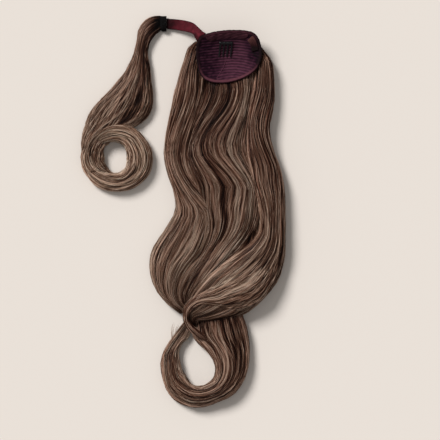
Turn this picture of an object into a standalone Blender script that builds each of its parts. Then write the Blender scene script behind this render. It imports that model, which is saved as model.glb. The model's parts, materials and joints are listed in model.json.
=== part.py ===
"""Ponytail hairpiece, lying on its outer side, so that the hollow of its cap faces up.

The hair falls from the cap, waves, twists once and ends in a loop. A strap joins the cap to
the wrap lock, which curls into a ring. Lengths are in metres, +Z is up, and +Y points from
the hair's loop to the cap. The origin is the middle of the object's box, on the ground.
"""

import math
from collections import namedtuple

import bmesh
import bpy
from mathutils import Vector

# Cap: a shallow fabric bowl with weft ribs
CAP_WIDTH = 0.0735
CAP_LENGTH = 0.0555
CAP_DEPTH = 0.014
CAP_WALL = 0.0018
CAP_SEAT = 0.0095
RIB_COUNT = 12
RIB_RELIEF = 0.0006
PIPING_DIAMETER = 0.0024
BAND_THICKNESS = 0.0012
TAB_THICKNESS = 0.0022

# Comb: four short teeth on a bar, in the bowl
COMB_WIDTH = 0.0165
COMB_LENGTH = 0.0200
COMB_BAR = 0.004
COMB_THICKNESS = 0.0014
TOOTH_COUNT = 4
TOOTH_WIDTH = 0.0021

# Fall: the long hair, as three layers and a loop
FALL_WIDTH = 0.171
FALL_LENGTH = 0.436
FALL_HEIGHT = 0.034

# Wrap lock: a long lock that curls into a ring
RING_RADIUS = 0.0444
LOCK_DROP = 0.1676
LOCK_HEIGHT = 0.020
LOCK_CLEARANCE = 0.014

# Strap and the band that binds the wrap lock's root
STRAP_THICKNESS = 0.0016
STRAP_WIDTH = 0.0132
STRAP_RISE = 0.0151
ROOT_BAND_LENGTH = 0.0065
ROOT_BAND_HEIGHT = 0.0095
ROOT_BAND_LAP = 0.0004

# Clearance between pieces that touch
GAP = 0.0004

# How finely the tables are read, and the shape of a cross-section
FALL_STEPS = 2
RING_STEPS = 2
SEGMENTS_PER_LOCK = 4
GROOVE_SHARE = 0.16
FLAT_SHARE = 0.72
SIDE_SHARE = 0.30
BOWL_POWER = 2.2
CAP_ROWS = 2 * RIB_COUNT
CAP_COLUMNS = 16
PIPING_POINTS = 60

# The cap's outline: degrees from +X, and reach as a share of the half width and half length
Rim = namedtuple("Rim", "turn reach")
CAP_OUTLINE = (
    Rim(13, 1.05),
    Rim(29, 1.13),
    Rim(42, 1.23),
    Rim(52, 1.28),
    Rim(63, 1.22),
    Rim(80, 1.13),
    Rim(103, 1.11),
    Rim(123, 1.17),
    Rim(136, 1.23),
    Rim(149, 1.15),
    Rim(168, 1.03),
    Rim(193, 1.00),
    Rim(212, 1.08),
    Rim(227, 1.15),
    Rim(241, 1.12),
    Rim(257, 1.04),
    Rim(276, 0.96),
    Rim(297, 0.92),
    Rim(317, 0.93),
    Rim(335, 0.97),
    Rim(353, 0.99),
)

# Patches of ribbon on the bowl's inner wall: degrees from +X, and reach towards the rim
Patch = namedtuple("Patch", "turn_from turn_to reach_from reach_to")
TOP_BAND = Patch(58, 130, 0.79, 0.97)
STRAP_TAB = Patch(20, 50, 0.78, 0.97)

# The comb's middle, as shares of the cap's half width and half length
COMB_ACROSS = -0.10
COMB_ALONG = 0.38

# Cross-lines of the fall. x is a share of FALL_WIDTH from the cap's middle, y a share of
# FALL_LENGTH down from it, low and high are shares of FALL_HEIGHT.
Cross = namedtuple("Cross", "left_x left_y right_x right_y low high")
LEFT_FALL = (
    Cross(-0.245, -0.050, -0.10, -0.055, 0.00, 0.35),
    Cross(-0.30, -0.030, -0.11, -0.030, 0.00, 0.59),
    Cross(-0.33, 0.005, -0.12, 0.005, 0.00, 0.70),
    Cross(-0.37, 0.055, -0.14, 0.055, 0.00, 0.70),
    Cross(-0.41, 0.120, -0.17, 0.120, 0.00, 0.68),
    Cross(-0.45, 0.200, -0.23, 0.205, 0.00, 0.65),
    Cross(-0.475, 0.275, -0.27, 0.280, 0.00, 0.62),
    Cross(-0.44, 0.345, -0.22, 0.350, 0.00, 0.62),
    Cross(-0.39, 0.405, -0.03, 0.415, 0.00, 0.62),
    Cross(-0.40, 0.445, 0.17, 0.455, 0.00, 0.62),
    Cross(-0.48, 0.495, 0.22, 0.505, 0.00, 0.65),
    Cross(-0.56, 0.550, 0.18, 0.550, 0.00, 0.68),
    Cross(-0.58, 0.600, -0.02, 0.600, 0.00, 0.68),
    Cross(-0.55, 0.655, -0.17, 0.660, 0.00, 0.65),
    Cross(-0.47, 0.700, -0.23, 0.695, 0.00, 0.62),
    Cross(-0.36, 0.735, -0.21, 0.710, 0.00, 0.53),
)
MIDDLE_FALL = (
    Cross(-0.12, -0.060, 0.15, -0.060, 0.04, 0.35),
    Cross(-0.14, -0.030, 0.20, -0.030, 0.04, 0.70),
    Cross(-0.17, 0.010, 0.21, 0.010, 0.04, 0.76),
    Cross(-0.18, 0.065, 0.20, 0.065, 0.04, 0.79),
    Cross(-0.21, 0.120, 0.18, 0.120, 0.04, 0.79),
    Cross(-0.285, 0.205, 0.17, 0.200, 0.04, 0.79),
    Cross(-0.33, 0.275, 0.155, 0.270, 0.04, 0.79),
    Cross(-0.32, 0.325, 0.20, 0.325, 0.04, 0.79),
    Cross(-0.275, 0.375, 0.24, 0.375, 0.04, 0.79),
    Cross(-0.225, 0.420, 0.25, 0.420, 0.04, 0.78),
    Cross(-0.20, 0.465, 0.235, 0.460, 0.04, 0.76),
    Cross(-0.21, 0.510, 0.19, 0.500, 0.04, 0.74),
    Cross(-0.255, 0.555, 0.12, 0.535, 0.04, 0.72),
    Cross(-0.325, 0.600, 0.04, 0.575, 0.04, 0.70),
    Cross(-0.38, 0.645, -0.07, 0.615, 0.04, 0.68),
    Cross(-0.39, 0.690, -0.18, 0.655, 0.04, 0.64),
    Cross(-0.35, 0.725, -0.23, 0.690, 0.04, 0.56),
)
RIGHT_FALL = (
    Cross(0.125, -0.065, 0.20, -0.055, 0.02, 0.35),
    Cross(0.17, -0.035, 0.255, -0.025, 0.02, 0.59),
    Cross(0.19, 0.005, 0.32, 0.010, 0.02, 0.71),
    Cross(0.17, 0.065, 0.335, 0.065, 0.02, 0.74),
    Cross(0.145, 0.120, 0.335, 0.125, 0.02, 0.76),
    Cross(0.125, 0.200, 0.30, 0.205, 0.02, 0.79),
    Cross(0.115, 0.275, 0.335, 0.275, 0.02, 0.82),
    Cross(0.155, 0.345, 0.395, 0.345, 0.02, 0.82),
    Cross(0.20, 0.410, 0.415, 0.415, 0.02, 0.82),
    Cross(0.215, 0.460, 0.42, 0.480, 0.02, 0.84),
    Cross(0.20, 0.500, 0.42, 0.545, 0.02, 0.86),
    Cross(0.11, 0.535, 0.40, 0.595, 0.02, 0.88),
    Cross(-0.02, 0.570, 0.355, 0.643, 0.02, 0.91),
    Cross(-0.155, 0.605, 0.235, 0.700, 0.02, 0.94),
    Cross(-0.25, 0.650, 0.085, 0.740, 0.06, 0.97),
    Cross(-0.305, 0.690, -0.085, 0.755, 0.12, 0.97),
    Cross(-0.335, 0.725, -0.21, 0.755, 0.15, 0.88),
    Cross(-0.305, 0.755, -0.225, 0.770, 0.15, 0.65),
)
LOOP = (
    Cross(-0.27, 0.690, -0.035, 0.660, 0.01, 0.59),
    Cross(-0.275, 0.725, 0.065, 0.700, 0.01, 0.65),
    Cross(-0.27, 0.762, 0.115, 0.745, 0.01, 0.68),
    Cross(-0.255, 0.800, 0.145, 0.790, 0.005, 0.68),
    Cross(-0.155, 0.840, 0.155, 0.835, 0.00, 0.65),
    Cross(-0.10, 0.880, 0.145, 0.885, 0.00, 0.65),
    Cross(-0.11, 0.915, 0.11, 0.925, 0.00, 0.62),
    Cross(-0.17, 0.934, 0.03, 0.965, 0.00, 0.62),
    Cross(-0.235, 0.939, -0.11, 0.990, 0.00, 0.59),
    Cross(-0.28, 0.929, -0.245, 1.000, 0.00, 0.59),
    Cross(-0.31, 0.910, -0.375, 0.985, 0.00, 0.56),
    Cross(-0.335, 0.895, -0.46, 0.950, 0.00, 0.53),
    Cross(-0.35, 0.870, -0.495, 0.895, 0.00, 0.50),
    Cross(-0.36, 0.840, -0.49, 0.850, 0.00, 0.44),
    Cross(-0.33, 0.815, -0.44, 0.815, 0.00, 0.38),
    Cross(-0.29, 0.803, -0.38, 0.780, 0.00, 0.32),
    Cross(-0.275, 0.785, -0.33, 0.755, 0.01, 0.28),
    Cross(-0.27, 0.758, -0.29, 0.735, 0.01, 0.24),
)

# Cross-lines of the wrap lock. x is a share of RING_RADIUS from the ring's middle, y a share
# of LOCK_DROP down from the lock's root, low and high are shares of LOCK_HEIGHT.
WRAP_LOCK = (
    Cross(1.24, -0.058, 1.27, 0.050, 0.00, 0.42),
    Cross(1.01, -0.052, 1.09, 0.095, 0.00, 0.50),
    Cross(0.79, -0.016, 0.98, 0.135, 0.00, 0.55),
    Cross(0.63, 0.054, 0.92, 0.180, 0.00, 0.55),
    Cross(0.56, 0.150, 0.895, 0.240, 0.00, 0.55),
    Cross(0.43, 0.257, 0.95, 0.310, 0.00, 0.60),
    Cross(0.21, 0.368, 1.00, 0.415, 0.00, 0.65),
    Cross(-0.13, 0.479, 1.04, 0.520, 0.00, 0.75),
    Cross(-0.48, 0.575, 1.04, 0.610, 0.00, 0.80),
    Cross(-0.74, 0.666, 0.85, 0.712, 0.00, 0.80),
    Cross(-0.89, 0.767, 0.33, 0.803, 0.00, 0.75),
    Cross(-0.97, 0.86, -0.20, 0.88, 0.00, 0.70),
    Cross(-0.985, 0.95, -0.51, 0.95, 0.00, 0.65),
    Cross(-0.985, 1.03, -0.59, 1.02, 0.00, 0.60),
)

# The ring: degrees of turn from the left, by the bottom, then the reach of its inner and
# outer edge as shares of RING_RADIUS. low and high are shares of LOCK_HEIGHT.
Turn = namedtuple("Turn", "turn inner outer low high")
OUTER_TURN = (
    Turn(-25, 0.73, 0.97, 0.01, 0.60),
    Turn(5, 0.70, 1.00, 0.01, 0.70),
    Turn(35, 0.56, 0.97, 0.01, 0.75),
    Turn(65, 0.45, 0.96, 0.01, 0.80),
    Turn(95, 0.42, 0.96, 0.01, 0.80),
    Turn(125, 0.38, 0.99, 0.01, 0.85),
    Turn(155, 0.32, 1.03, 0.01, 0.85),
    Turn(185, 0.30, 1.03, 0.01, 0.90),
    Turn(215, 0.34, 1.00, 0.01, 0.95),
    Turn(245, 0.41, 0.99, 0.05, 1.00),
    Turn(275, 0.45, 0.96, 0.10, 1.00),
    Turn(300, 0.48, 0.93, 0.15, 0.95),
    Turn(315, 0.51, 0.90, 0.17, 0.85),
)
INNER_TURN = (
    Turn(280, 0.49, 0.87, 0.07, 0.75),
    Turn(310, 0.42, 0.86, 0.07, 0.75),
    Turn(340, 0.35, 0.82, 0.05, 0.70),
    Turn(370, 0.32, 0.79, 0.04, 0.65),
    Turn(400, 0.35, 0.70, 0.04, 0.60),
    Turn(430, 0.39, 0.62, 0.04, 0.50),
    Turn(450, 0.44, 0.56, 0.04, 0.40),
)

# The strap's two edges: how far each is along the straight line between its ends, how far it
# bows away from that line as a share of its length, and how far it has climbed to the rim.
Ribbon = namedtuple("Ribbon", "top_along top_bow bottom_along bottom_bow climb")
STRAP_ROUTE = (
    Ribbon(0.00, 0.00, 0.00, 0.00, 0.00),
    Ribbon(0.265, 0.080, 0.225, 0.070, 0.06),
    Ribbon(0.490, 0.125, 0.470, 0.130, 0.20),
    Ribbon(0.635, 0.125, 0.68, 0.165, 0.42),
    Ribbon(0.760, 0.080, 0.80, 0.155, 0.65),
    Ribbon(0.900, 0.020, 0.89, 0.085, 0.88),
    Ribbon(1.00, 0.00, 1.00, 0.00, 1.00),
)
STRAP_TURN_TOP = 128
STRAP_TURN_BOTTOM = 145

# Colours as seen, from 0 to 1
HAIR_BROWN = (0.40, 0.30, 0.25)
LOCK_BROWN = (0.42, 0.33, 0.28)
CAP_PLUM = (0.22, 0.12, 0.18)
BINDING_PLUM = (0.30, 0.13, 0.18)
STRAP_WINE = (0.31, 0.11, 0.14)
TAB_RUSSET = (0.30, 0.15, 0.14)
COMB_BLACK = (0.05, 0.04, 0.05)
ROOT_BLACK = (0.03, 0.02, 0.02)

# Where things are, worked out from the sizes above
FALL_LEFT = min(row.left_x for row in LEFT_FALL[:8]) * FALL_WIDTH
RING_REACH = max(row.outer for row in OUTER_TURN) * RING_RADIUS
RING_X = FALL_LEFT - LOCK_CLEARANCE - RING_REACH
ROOT_Y = CAP_LENGTH / 2 + STRAP_RISE
RING_Y = ROOT_Y - LOCK_DROP
ROOT_X = RING_X + max(row.right_x for row in WRAP_LOCK) * RING_RADIUS
BOWL_FLOOR = CAP_SEAT + CAP_WALL


def seen_to_linear(value):
    return value / 12.92 if value <= 0.04045 else ((value + 0.055) / 1.055) ** 2.4


def material(name, color, roughness):
    made = bpy.data.materials.new(name)
    made.use_nodes = True
    shader = made.node_tree.nodes["Principled BSDF"]
    linear = [seen_to_linear(value) for value in color]
    shader.inputs["Base Color"].default_value = (*linear, 1.0)
    shader.inputs["Roughness"].default_value = roughness
    shader.inputs["Metallic"].default_value = 0.0
    made.diffuse_color = (*linear, 1.0)
    return made


def collection(name):
    made = bpy.data.collections.new(name)
    bpy.context.scene.collection.children.link(made)
    return made


def add_object(name, mesh, look, home, root):
    mesh.shade_smooth()
    mesh.set_sharp_from_angle(angle=math.radians(50))
    made = bpy.data.objects.new(name, mesh)
    made.parent = root
    mesh.materials.append(look)
    home.objects.link(made)
    return made


def hide_as_tool(made):
    made.hide_render = True
    made.display_type = "WIRE"


def combine(target, other, operation):
    boolean = target.modifiers.new(f"{operation.title()} {other.name}", "BOOLEAN")
    boolean.use_self = operation == "UNION"
    boolean.operation = operation
    boolean.object = other
    boolean.solver = "EXACT"


def solidify(target, thickness, offset):
    shell = target.modifiers.new("Thickness", "SOLIDIFY")
    shell.thickness = thickness
    shell.offset = offset


def spline(before, start, end, after, share):
    """A smooth curve's value between start and end."""
    bend = 2 * before - 5 * start + 4 * end - after
    turn = 3 * start - before - 3 * end + after
    return start + 0.5 * share * (end - before + share * (bend + share * turn))


def smooth_rows(rows, steps):
    """A table's rows with values from a smooth curve put between them."""
    kind = type(rows[0])
    last = len(rows) - 1
    found = []
    for index in range(last):
        around = (
            rows[max(index - 1, 0)],
            rows[index],
            rows[index + 1],
            rows[min(index + 2, last)],
        )
        for step in range(steps):
            values = [spline(*four, step / steps) for four in zip(*around)]
            found.append(kind(*values))
    found.append(rows[-1])
    return found


def locks_section(left, right, low, high, locks):
    """One cross-section of hair: flat under, round at the sides, grooved between its locks."""
    side = low + SIDE_SHARE * (high - low)
    count = SEGMENTS_PER_LOCK * locks
    middle = (left + right) / 2
    half = (right - left) / 2
    points = []
    for index in range(count + 1):
        across = 2 * index / count - 1
        dome = math.sqrt(max(1 - abs(across) ** 2.6, 0))
        ridge = math.sin(math.pi * (index % SEGMENTS_PER_LOCK) / SEGMENTS_PER_LOCK) ** 0.6
        height = side + (high - side) * dome * (1 - GROOVE_SHARE * (1 - ridge))
        points.append(Vector((*(middle + across * half).xy, height)))
    for across in (FLAT_SHARE, -FLAT_SHARE):
        points.append(Vector((*(middle + across * half).xy, low)))
    return points


def loft(name, rings, closed_ends=True):
    """A closed body through rings of equally many points."""
    body = bmesh.new()
    rows = [[body.verts.new(point) for point in ring] for ring in rings]
    for first, second in zip(rows, rows[1:]):
        for index in range(len(first)):
            after = (index + 1) % len(first)
            body.faces.new((first[index], first[after], second[after], second[index]))
    if closed_ends:
        body.faces.new(rows[0])
        body.faces.new(rows[-1])
    bmesh.ops.recalc_face_normals(body, faces=body.faces)
    mesh = bpy.data.meshes.new(name)
    body.to_mesh(mesh)
    body.free()
    return mesh


def sheet(name, rows):
    """An open surface through rows of equally many points, facing up."""
    body = bmesh.new()
    grid = [[body.verts.new(point) for point in row] for row in rows]
    for first, second in zip(grid, grid[1:]):
        for index in range(len(first) - 1):
            corners = (first[index], first[index + 1], second[index + 1], second[index])
            body.faces.new(corners)
    bmesh.ops.recalc_face_normals(body, faces=body.faces)
    body.normal_update()
    if sum(face.normal.z for face in body.faces) < 0:
        bmesh.ops.reverse_faces(body, faces=body.faces)
    mesh = bpy.data.meshes.new(name)
    body.to_mesh(mesh)
    body.free()
    return mesh


def fall_rings(rows, locks):
    rings = []
    for row in smooth_rows(rows, FALL_STEPS):
        left = Vector((row.left_x * FALL_WIDTH, -row.left_y * FALL_LENGTH, 0))
        right = Vector((row.right_x * FALL_WIDTH, -row.right_y * FALL_LENGTH, 0))
        low = row.low * FALL_HEIGHT
        high = row.high * FALL_HEIGHT
        rings.append(locks_section(left, right, low, high, locks))
    return rings


def wrap_lock_rings(rows, locks):
    rings = []
    for row in smooth_rows(rows, FALL_STEPS):
        left = Vector((RING_X + row.left_x * RING_RADIUS, ROOT_Y - row.left_y * LOCK_DROP, 0))
        right = Vector((RING_X + row.right_x * RING_RADIUS, ROOT_Y - row.right_y * LOCK_DROP, 0))
        low = row.low * LOCK_HEIGHT
        high = row.high * LOCK_HEIGHT
        rings.append(locks_section(left, right, low, high, locks))
    return rings


def turn_rings(rows, locks):
    rings = []
    middle = Vector((RING_X, RING_Y, 0))
    for row in smooth_rows(rows, RING_STEPS):
        turn = math.radians(180 + row.turn)
        outward = Vector((math.cos(turn), math.sin(turn), 0)) * RING_RADIUS
        inner = middle + row.inner * outward
        outer = middle + row.outer * outward
        low = row.low * LOCK_HEIGHT
        high = row.high * LOCK_HEIGHT
        rings.append(locks_section(inner, outer, low, high, locks))
    return rings


def rim_reach(turn):
    """The outline's reach at this turn, from a smooth closed curve through its table."""
    turn %= 360
    count = len(CAP_OUTLINE)
    start = count - 1
    for index, rim in enumerate(CAP_OUTLINE):
        if rim.turn <= turn:
            start = index
    first = CAP_OUTLINE[start]
    second = CAP_OUTLINE[(start + 1) % count]
    span = (second.turn - first.turn) % 360
    share = ((turn - first.turn) % 360) / span
    before = CAP_OUTLINE[start - 1]
    after = CAP_OUTLINE[(start + 2) % count]
    return spline(before.reach, first.reach, second.reach, after.reach, share)


def rim_offset(turn):
    """From the cap's middle to its edge, in plan."""
    angle = math.radians(turn)
    reach = rim_reach(turn)
    across = reach * math.cos(angle) * CAP_WIDTH / 2
    along = reach * math.sin(angle) * CAP_LENGTH / 2
    return Vector((across, along, 0))


def bowl_height(share):
    return BOWL_FLOOR + CAP_DEPTH * share ** BOWL_POWER


def bowl_point(turn, share):
    place = rim_offset(turn) * share
    place.z = bowl_height(share)
    return place


def bowl_height_at(across, along):
    """Height of the bowl's inner face over a place in plan."""
    turn = math.degrees(math.atan2(along / CAP_LENGTH, across / CAP_WIDTH))
    share = math.hypot(across, along) / rim_offset(turn).length
    return bowl_height(share)


def disc_grid(rows, columns):
    """Turn and share of the radius over a disc, in rows that run from side to side."""
    grid = []
    for row in range(rows + 1):
        line = []
        for column in range(columns + 1):
            along = 1 - 2 * row / rows
            across = 2 * column / columns - 1
            x = across * math.sqrt(1 - along * along / 2)
            y = along * math.sqrt(1 - across * across / 2)
            line.append((math.degrees(math.atan2(y, x)), math.hypot(x, y)))
        grid.append(line)
    return grid


def cap_base(look, home, root):
    rows = []
    for index, line in enumerate(disc_grid(CAP_ROWS, CAP_COLUMNS)):
        points = []
        for turn, share in line:
            point = bowl_point(turn, share)
            fade = min(max((0.95 - share) / 0.2, 0), 1)
            point.z -= RIB_RELIEF * fade * (index % 2)
            points.append(point)
        rows.append(points)
    base = add_object("cap_base", sheet("cap_base", rows), look, home, root)
    solidify(base, CAP_WALL, -1)
    return base


def piping_point(turn, away):
    """A point this far outside the cap's edge, square to it in plan."""
    here = rim_offset(turn)
    tangent = rim_offset(turn + 1) - rim_offset(turn - 1)
    outward = Vector((tangent.y, -tangent.x, 0)).normalized()
    point = here + away * outward
    point.z = bowl_height(1)
    return point


def cap_binding(look, home, root):
    curve = bpy.data.curves.new("cap_binding", "CURVE")
    curve.dimensions = "3D"
    curve.bevel_depth = PIPING_DIAMETER / 2
    curve.bevel_resolution = 1
    line = curve.splines.new("POLY")
    line.points.add(PIPING_POINTS - 1)
    away = PIPING_DIAMETER / 2 + GAP + CAP_WALL / 2
    for index in range(PIPING_POINTS):
        place = piping_point(360 * index / PIPING_POINTS, away)
        line.points[index].co = (*place, 1)
    line.use_cyclic_u = True
    binding = bpy.data.objects.new("cap_binding", curve)
    binding.parent = root
    curve.materials.append(look)
    home.objects.link(binding)
    return binding


def ribbon_patch(name, patch, thickness, look, home, root):
    """A strip of ribbon that lies on the bowl's inner wall."""
    rows = []
    for across in range(4):
        share = patch.reach_from + (patch.reach_to - patch.reach_from) * across / 3
        points = []
        for step in range(13):
            turn = patch.turn_from + (patch.turn_to - patch.turn_from) * step / 12
            point = bowl_point(turn, share)
            point.z += 2 * GAP
            points.append(point)
        rows.append(points)
    strip = add_object(name, sheet(name, rows), look, home, root)
    solidify(strip, thickness, 1)
    return strip


def comb(look, home, root):
    """A bar and its teeth in one flat outline, which follows the bowl."""
    pitch = (COMB_WIDTH - TOOTH_WIDTH) / (TOOTH_COUNT - 1)
    middle_x = COMB_ACROSS * CAP_WIDTH / 2
    top_y = COMB_ALONG * CAP_LENGTH / 2 + COMB_LENGTH / 2
    edges = []
    for tooth in range(TOOTH_COUNT):
        left = middle_x - COMB_WIDTH / 2 + tooth * pitch
        edges.append((left, left + TOOTH_WIDTH))
    lines = [0, COMB_BAR]
    for step in range(1, 5):
        lines.append(COMB_BAR + (COMB_LENGTH - COMB_BAR) * step / 4)
    body = bmesh.new()
    columns = []
    for left, right in edges:
        middle = (left + right) / 2
        for side in (left, right):
            column = []
            for down in lines:
                slim = 0.55 if down == COMB_LENGTH else 1.0
                across = middle + (side - middle) * slim
                along = top_y - down
                height = bowl_height_at(across, along) + 2 * GAP
                column.append(body.verts.new((across, along, height)))
            columns.append(column)
    for index, (first, second) in enumerate(zip(columns, columns[1:])):
        rows = len(lines) - 1 if index % 2 == 0 else 1
        for row in range(rows):
            body.faces.new((first[row], first[row + 1], second[row + 1], second[row]))
    mesh = bpy.data.meshes.new("comb")
    body.to_mesh(mesh)
    body.free()
    made = add_object("comb", mesh, look, home, root)
    solidify(made, COMB_THICKNESS, 1)
    return made


def along_line(start, end, along, bow):
    """A point beside the straight line from start to end, bowed to its left."""
    line = end - start
    return start + along * line + bow * Vector((-line.y, line.x, 0))


def wrap_strap(look, home, root):
    start_x = ROOT_X + ROOT_BAND_LENGTH + 2 * GAP
    start_z = ROOT_BAND_HEIGHT / 2
    away = PIPING_DIAMETER + 2 * GAP + CAP_WALL / 2
    top_start = Vector((start_x, ROOT_Y + STRAP_WIDTH / 2, start_z))
    bottom_start = Vector((start_x, ROOT_Y - STRAP_WIDTH / 2, start_z))
    top_end = piping_point(STRAP_TURN_TOP, away)
    bottom_end = piping_point(STRAP_TURN_BOTTOM, away)
    rim_middle = piping_point((STRAP_TURN_TOP + STRAP_TURN_BOTTOM) / 2, away)
    bulge = rim_middle - (top_end + bottom_end) / 2
    rows = []
    for row in smooth_rows(STRAP_ROUTE, 4):
        top = along_line(top_start, top_end, row.top_along, row.top_bow)
        bottom = along_line(bottom_start, bottom_end, row.bottom_along, row.bottom_bow)
        top.z = start_z + row.climb * (top_end.z - start_z)
        bottom.z = start_z + row.climb * (bottom_end.z - start_z)
        points = []
        for step in range(5):
            across = step / 4
            swell = 4 * across * (1 - across) * row.climb ** 2
            points.append(top.lerp(bottom, across) + swell * bulge)
        rows.append(points)
    strap = add_object("wrap_strap", sheet("wrap_strap", rows), look, home, root)
    solidify(strap, STRAP_THICKNESS, 0)
    return strap


def root_band(look, home, root):
    """The band wound round the wrap lock's root, a little waisted."""
    width = (WRAP_LOCK[0].right_y - WRAP_LOCK[0].left_y) * LOCK_DROP + 2 * ROOT_BAND_LAP
    rings = []
    for along, fullness in ((0, 0.86), (0.15, 1.0), (0.5, 0.94), (0.85, 1.0), (1, 0.86)):
        ring = []
        for step in range(16):
            angle = 2 * math.pi * step / 16
            across = math.copysign(abs(math.cos(angle)) ** 0.7, math.cos(angle))
            up = math.copysign(abs(math.sin(angle)) ** 0.7, math.sin(angle))
            x = ROOT_X + GAP + along * ROOT_BAND_LENGTH
            y = ROOT_Y + across * fullness * width / 2
            z = ROOT_BAND_HEIGHT / 2 * (1 + up * fullness)
            ring.append(Vector((x, y, z)))
        rings.append(ring)
    return add_object("root_band", loft("root_band", rings), look, home, root)


def cap_pocket(look, home, root):
    """The space that the cap and its binding take out of the hair."""
    spread = 1 + (PIPING_DIAMETER + CAP_WALL + 3 * GAP) / (CAP_LENGTH / 2)
    top = BOWL_FLOOR + CAP_DEPTH + FALL_HEIGHT
    slope = BOWL_POWER * CAP_DEPTH / (CAP_LENGTH / 2)
    body = bmesh.new()
    grid = disc_grid(CAP_ROWS, CAP_COLUMNS)
    floor = []
    for line in grid:
        row = []
        for turn, share in line:
            wide = share * spread
            inside = min(wide, 1)
            steep = slope * inside ** (BOWL_POWER - 1)
            drop = CAP_WALL * math.hypot(1, steep) + GAP + RIB_RELIEF
            place = rim_offset(turn) * wide
            place.z = bowl_height(inside) - drop
            row.append(body.verts.new(place))
        floor.append(row)
    roof = [[body.verts.new((*point.co.xy, top)) for point in row] for row in floor]
    for rows in (floor, roof):
        for first, second in zip(rows, rows[1:]):
            for index in range(len(first) - 1):
                corners = (first[index], first[index + 1], second[index + 1], second[index])
                body.faces.new(corners)
    rim = (
        [(0, column) for column in range(CAP_COLUMNS)]
        + [(row, CAP_COLUMNS) for row in range(CAP_ROWS)]
        + [(CAP_ROWS, column) for column in range(CAP_COLUMNS, 0, -1)]
        + [(row, 0) for row in range(CAP_ROWS, 0, -1)]
    )
    for (row, column), (next_row, next_column) in zip(rim, rim[1:] + rim[:1]):
        low = floor[row][column]
        low_next = floor[next_row][next_column]
        body.faces.new((low, low_next, roof[next_row][next_column], roof[row][column]))
    bmesh.ops.recalc_face_normals(body, faces=body.faces)
    mesh = bpy.data.meshes.new("cap_pocket")
    body.to_mesh(mesh)
    body.free()
    return add_object("cap_pocket", mesh, look, home, root)


def main_hair(look, home, tools, root):
    hair = add_object("main_hair", loft("main_hair", fall_rings(LEFT_FALL, 4)), look, home, root)
    layers = (("middle_fall", MIDDLE_FALL, 5), ("right_fall", RIGHT_FALL, 4), ("loop", LOOP, 4))
    for name, rows, locks in layers:
        layer = add_object(name, loft(name, fall_rings(rows, locks)), look, tools, root)
        hide_as_tool(layer)
        combine(hair, layer, "UNION")
    pocket = cap_pocket(look, tools, root)
    hide_as_tool(pocket)
    combine(hair, pocket, "DIFFERENCE")
    return hair


def wrap_lock_hair(look, home, tools, root):
    rings = wrap_lock_rings(WRAP_LOCK, 3)
    hair = add_object("wrap_lock_hair", loft("wrap_lock_hair", rings), look, home, root)
    for name, rows in (("outer_turn", OUTER_TURN), ("inner_turn", INNER_TURN)):
        turn = add_object(name, loft(name, turn_rings(rows, 3)), look, tools, root)
        hide_as_tool(turn)
        combine(hair, turn, "UNION")
    return hair


def middle_of(objects):
    """The middle, in plan, of the box round all of these objects."""
    bpy.context.view_layer.update()
    graph = bpy.context.evaluated_depsgraph_get()
    points = []
    for made in objects:
        evaluated = made.evaluated_get(graph)
        mesh = evaluated.to_mesh()
        points += [evaluated.matrix_world @ vertex.co for vertex in mesh.vertices]
        evaluated.to_mesh_clear()
    low = [min(point[axis] for point in points) for axis in range(2)]
    high = [max(point[axis] for point in points) for axis in range(2)]
    return Vector(((low[0] + high[0]) / 2, (low[1] + high[1]) / 2, 0))


def main():
    for made in list(bpy.data.objects):
        bpy.data.objects.remove(made, do_unlink=True)
    home = collection("ponytail_hairpiece")
    tools = collection("tools")
    root = bpy.data.objects.new("hairpiece", None)
    home.objects.link(root)
    hair_look = material("hair", HAIR_BROWN, 0.45)
    binding_look = material("binding", BINDING_PLUM, 0.75)
    pieces = [
        cap_base(material("cap_fabric", CAP_PLUM, 0.8), home, root),
        cap_binding(binding_look, home, root),
        ribbon_patch("top_band", TOP_BAND, BAND_THICKNESS, binding_look, home, root),
        ribbon_patch(
            "strap_tab", STRAP_TAB, TAB_THICKNESS, material("tab", TAB_RUSSET, 0.8), home, root
        ),
        comb(material("comb_plastic", COMB_BLACK, 0.35), home, root),
        wrap_strap(material("strap", STRAP_WINE, 0.8), home, root),
        root_band(material("root_thread", ROOT_BLACK, 0.6), home, root),
        main_hair(hair_look, home, tools, root),
        wrap_lock_hair(material("lock_hair", LOCK_BROWN, 0.45), home, tools, root),
    ]
    root.location = -middle_of(pieces)


main()
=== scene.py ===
"""The looks of the ponytail hairpiece: strands of hair over ridged locks, a fabric cap with
its comb, a woven strap and a curled wrap lock, lying on a pale floor. Lengths in metres."""

import json
import math
from collections import namedtuple

import bpy
import numpy as np
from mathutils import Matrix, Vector


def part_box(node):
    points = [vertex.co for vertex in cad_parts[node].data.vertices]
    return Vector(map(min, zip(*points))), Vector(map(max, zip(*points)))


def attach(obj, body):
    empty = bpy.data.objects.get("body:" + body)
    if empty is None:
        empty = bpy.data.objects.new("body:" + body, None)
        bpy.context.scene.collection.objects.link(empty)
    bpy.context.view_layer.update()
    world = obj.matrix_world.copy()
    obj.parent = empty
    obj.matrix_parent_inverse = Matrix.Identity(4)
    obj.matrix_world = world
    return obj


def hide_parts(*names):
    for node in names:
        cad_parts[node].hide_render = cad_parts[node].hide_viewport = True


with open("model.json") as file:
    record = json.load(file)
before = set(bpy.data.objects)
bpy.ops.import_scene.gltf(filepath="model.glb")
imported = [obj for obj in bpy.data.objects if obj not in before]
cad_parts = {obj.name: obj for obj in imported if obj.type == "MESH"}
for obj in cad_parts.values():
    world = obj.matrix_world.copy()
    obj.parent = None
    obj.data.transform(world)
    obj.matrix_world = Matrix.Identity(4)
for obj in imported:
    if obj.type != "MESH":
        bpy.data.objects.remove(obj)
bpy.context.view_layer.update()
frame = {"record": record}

# The frame's own places
CROWN = np.array(next(m["pos_m"] for m in frame["record"]["mounts"] if m["name"] == "cap_hollow"))
BAND_LOW, BAND_HIGH = (np.array(corner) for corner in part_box("root_band"))
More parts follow.
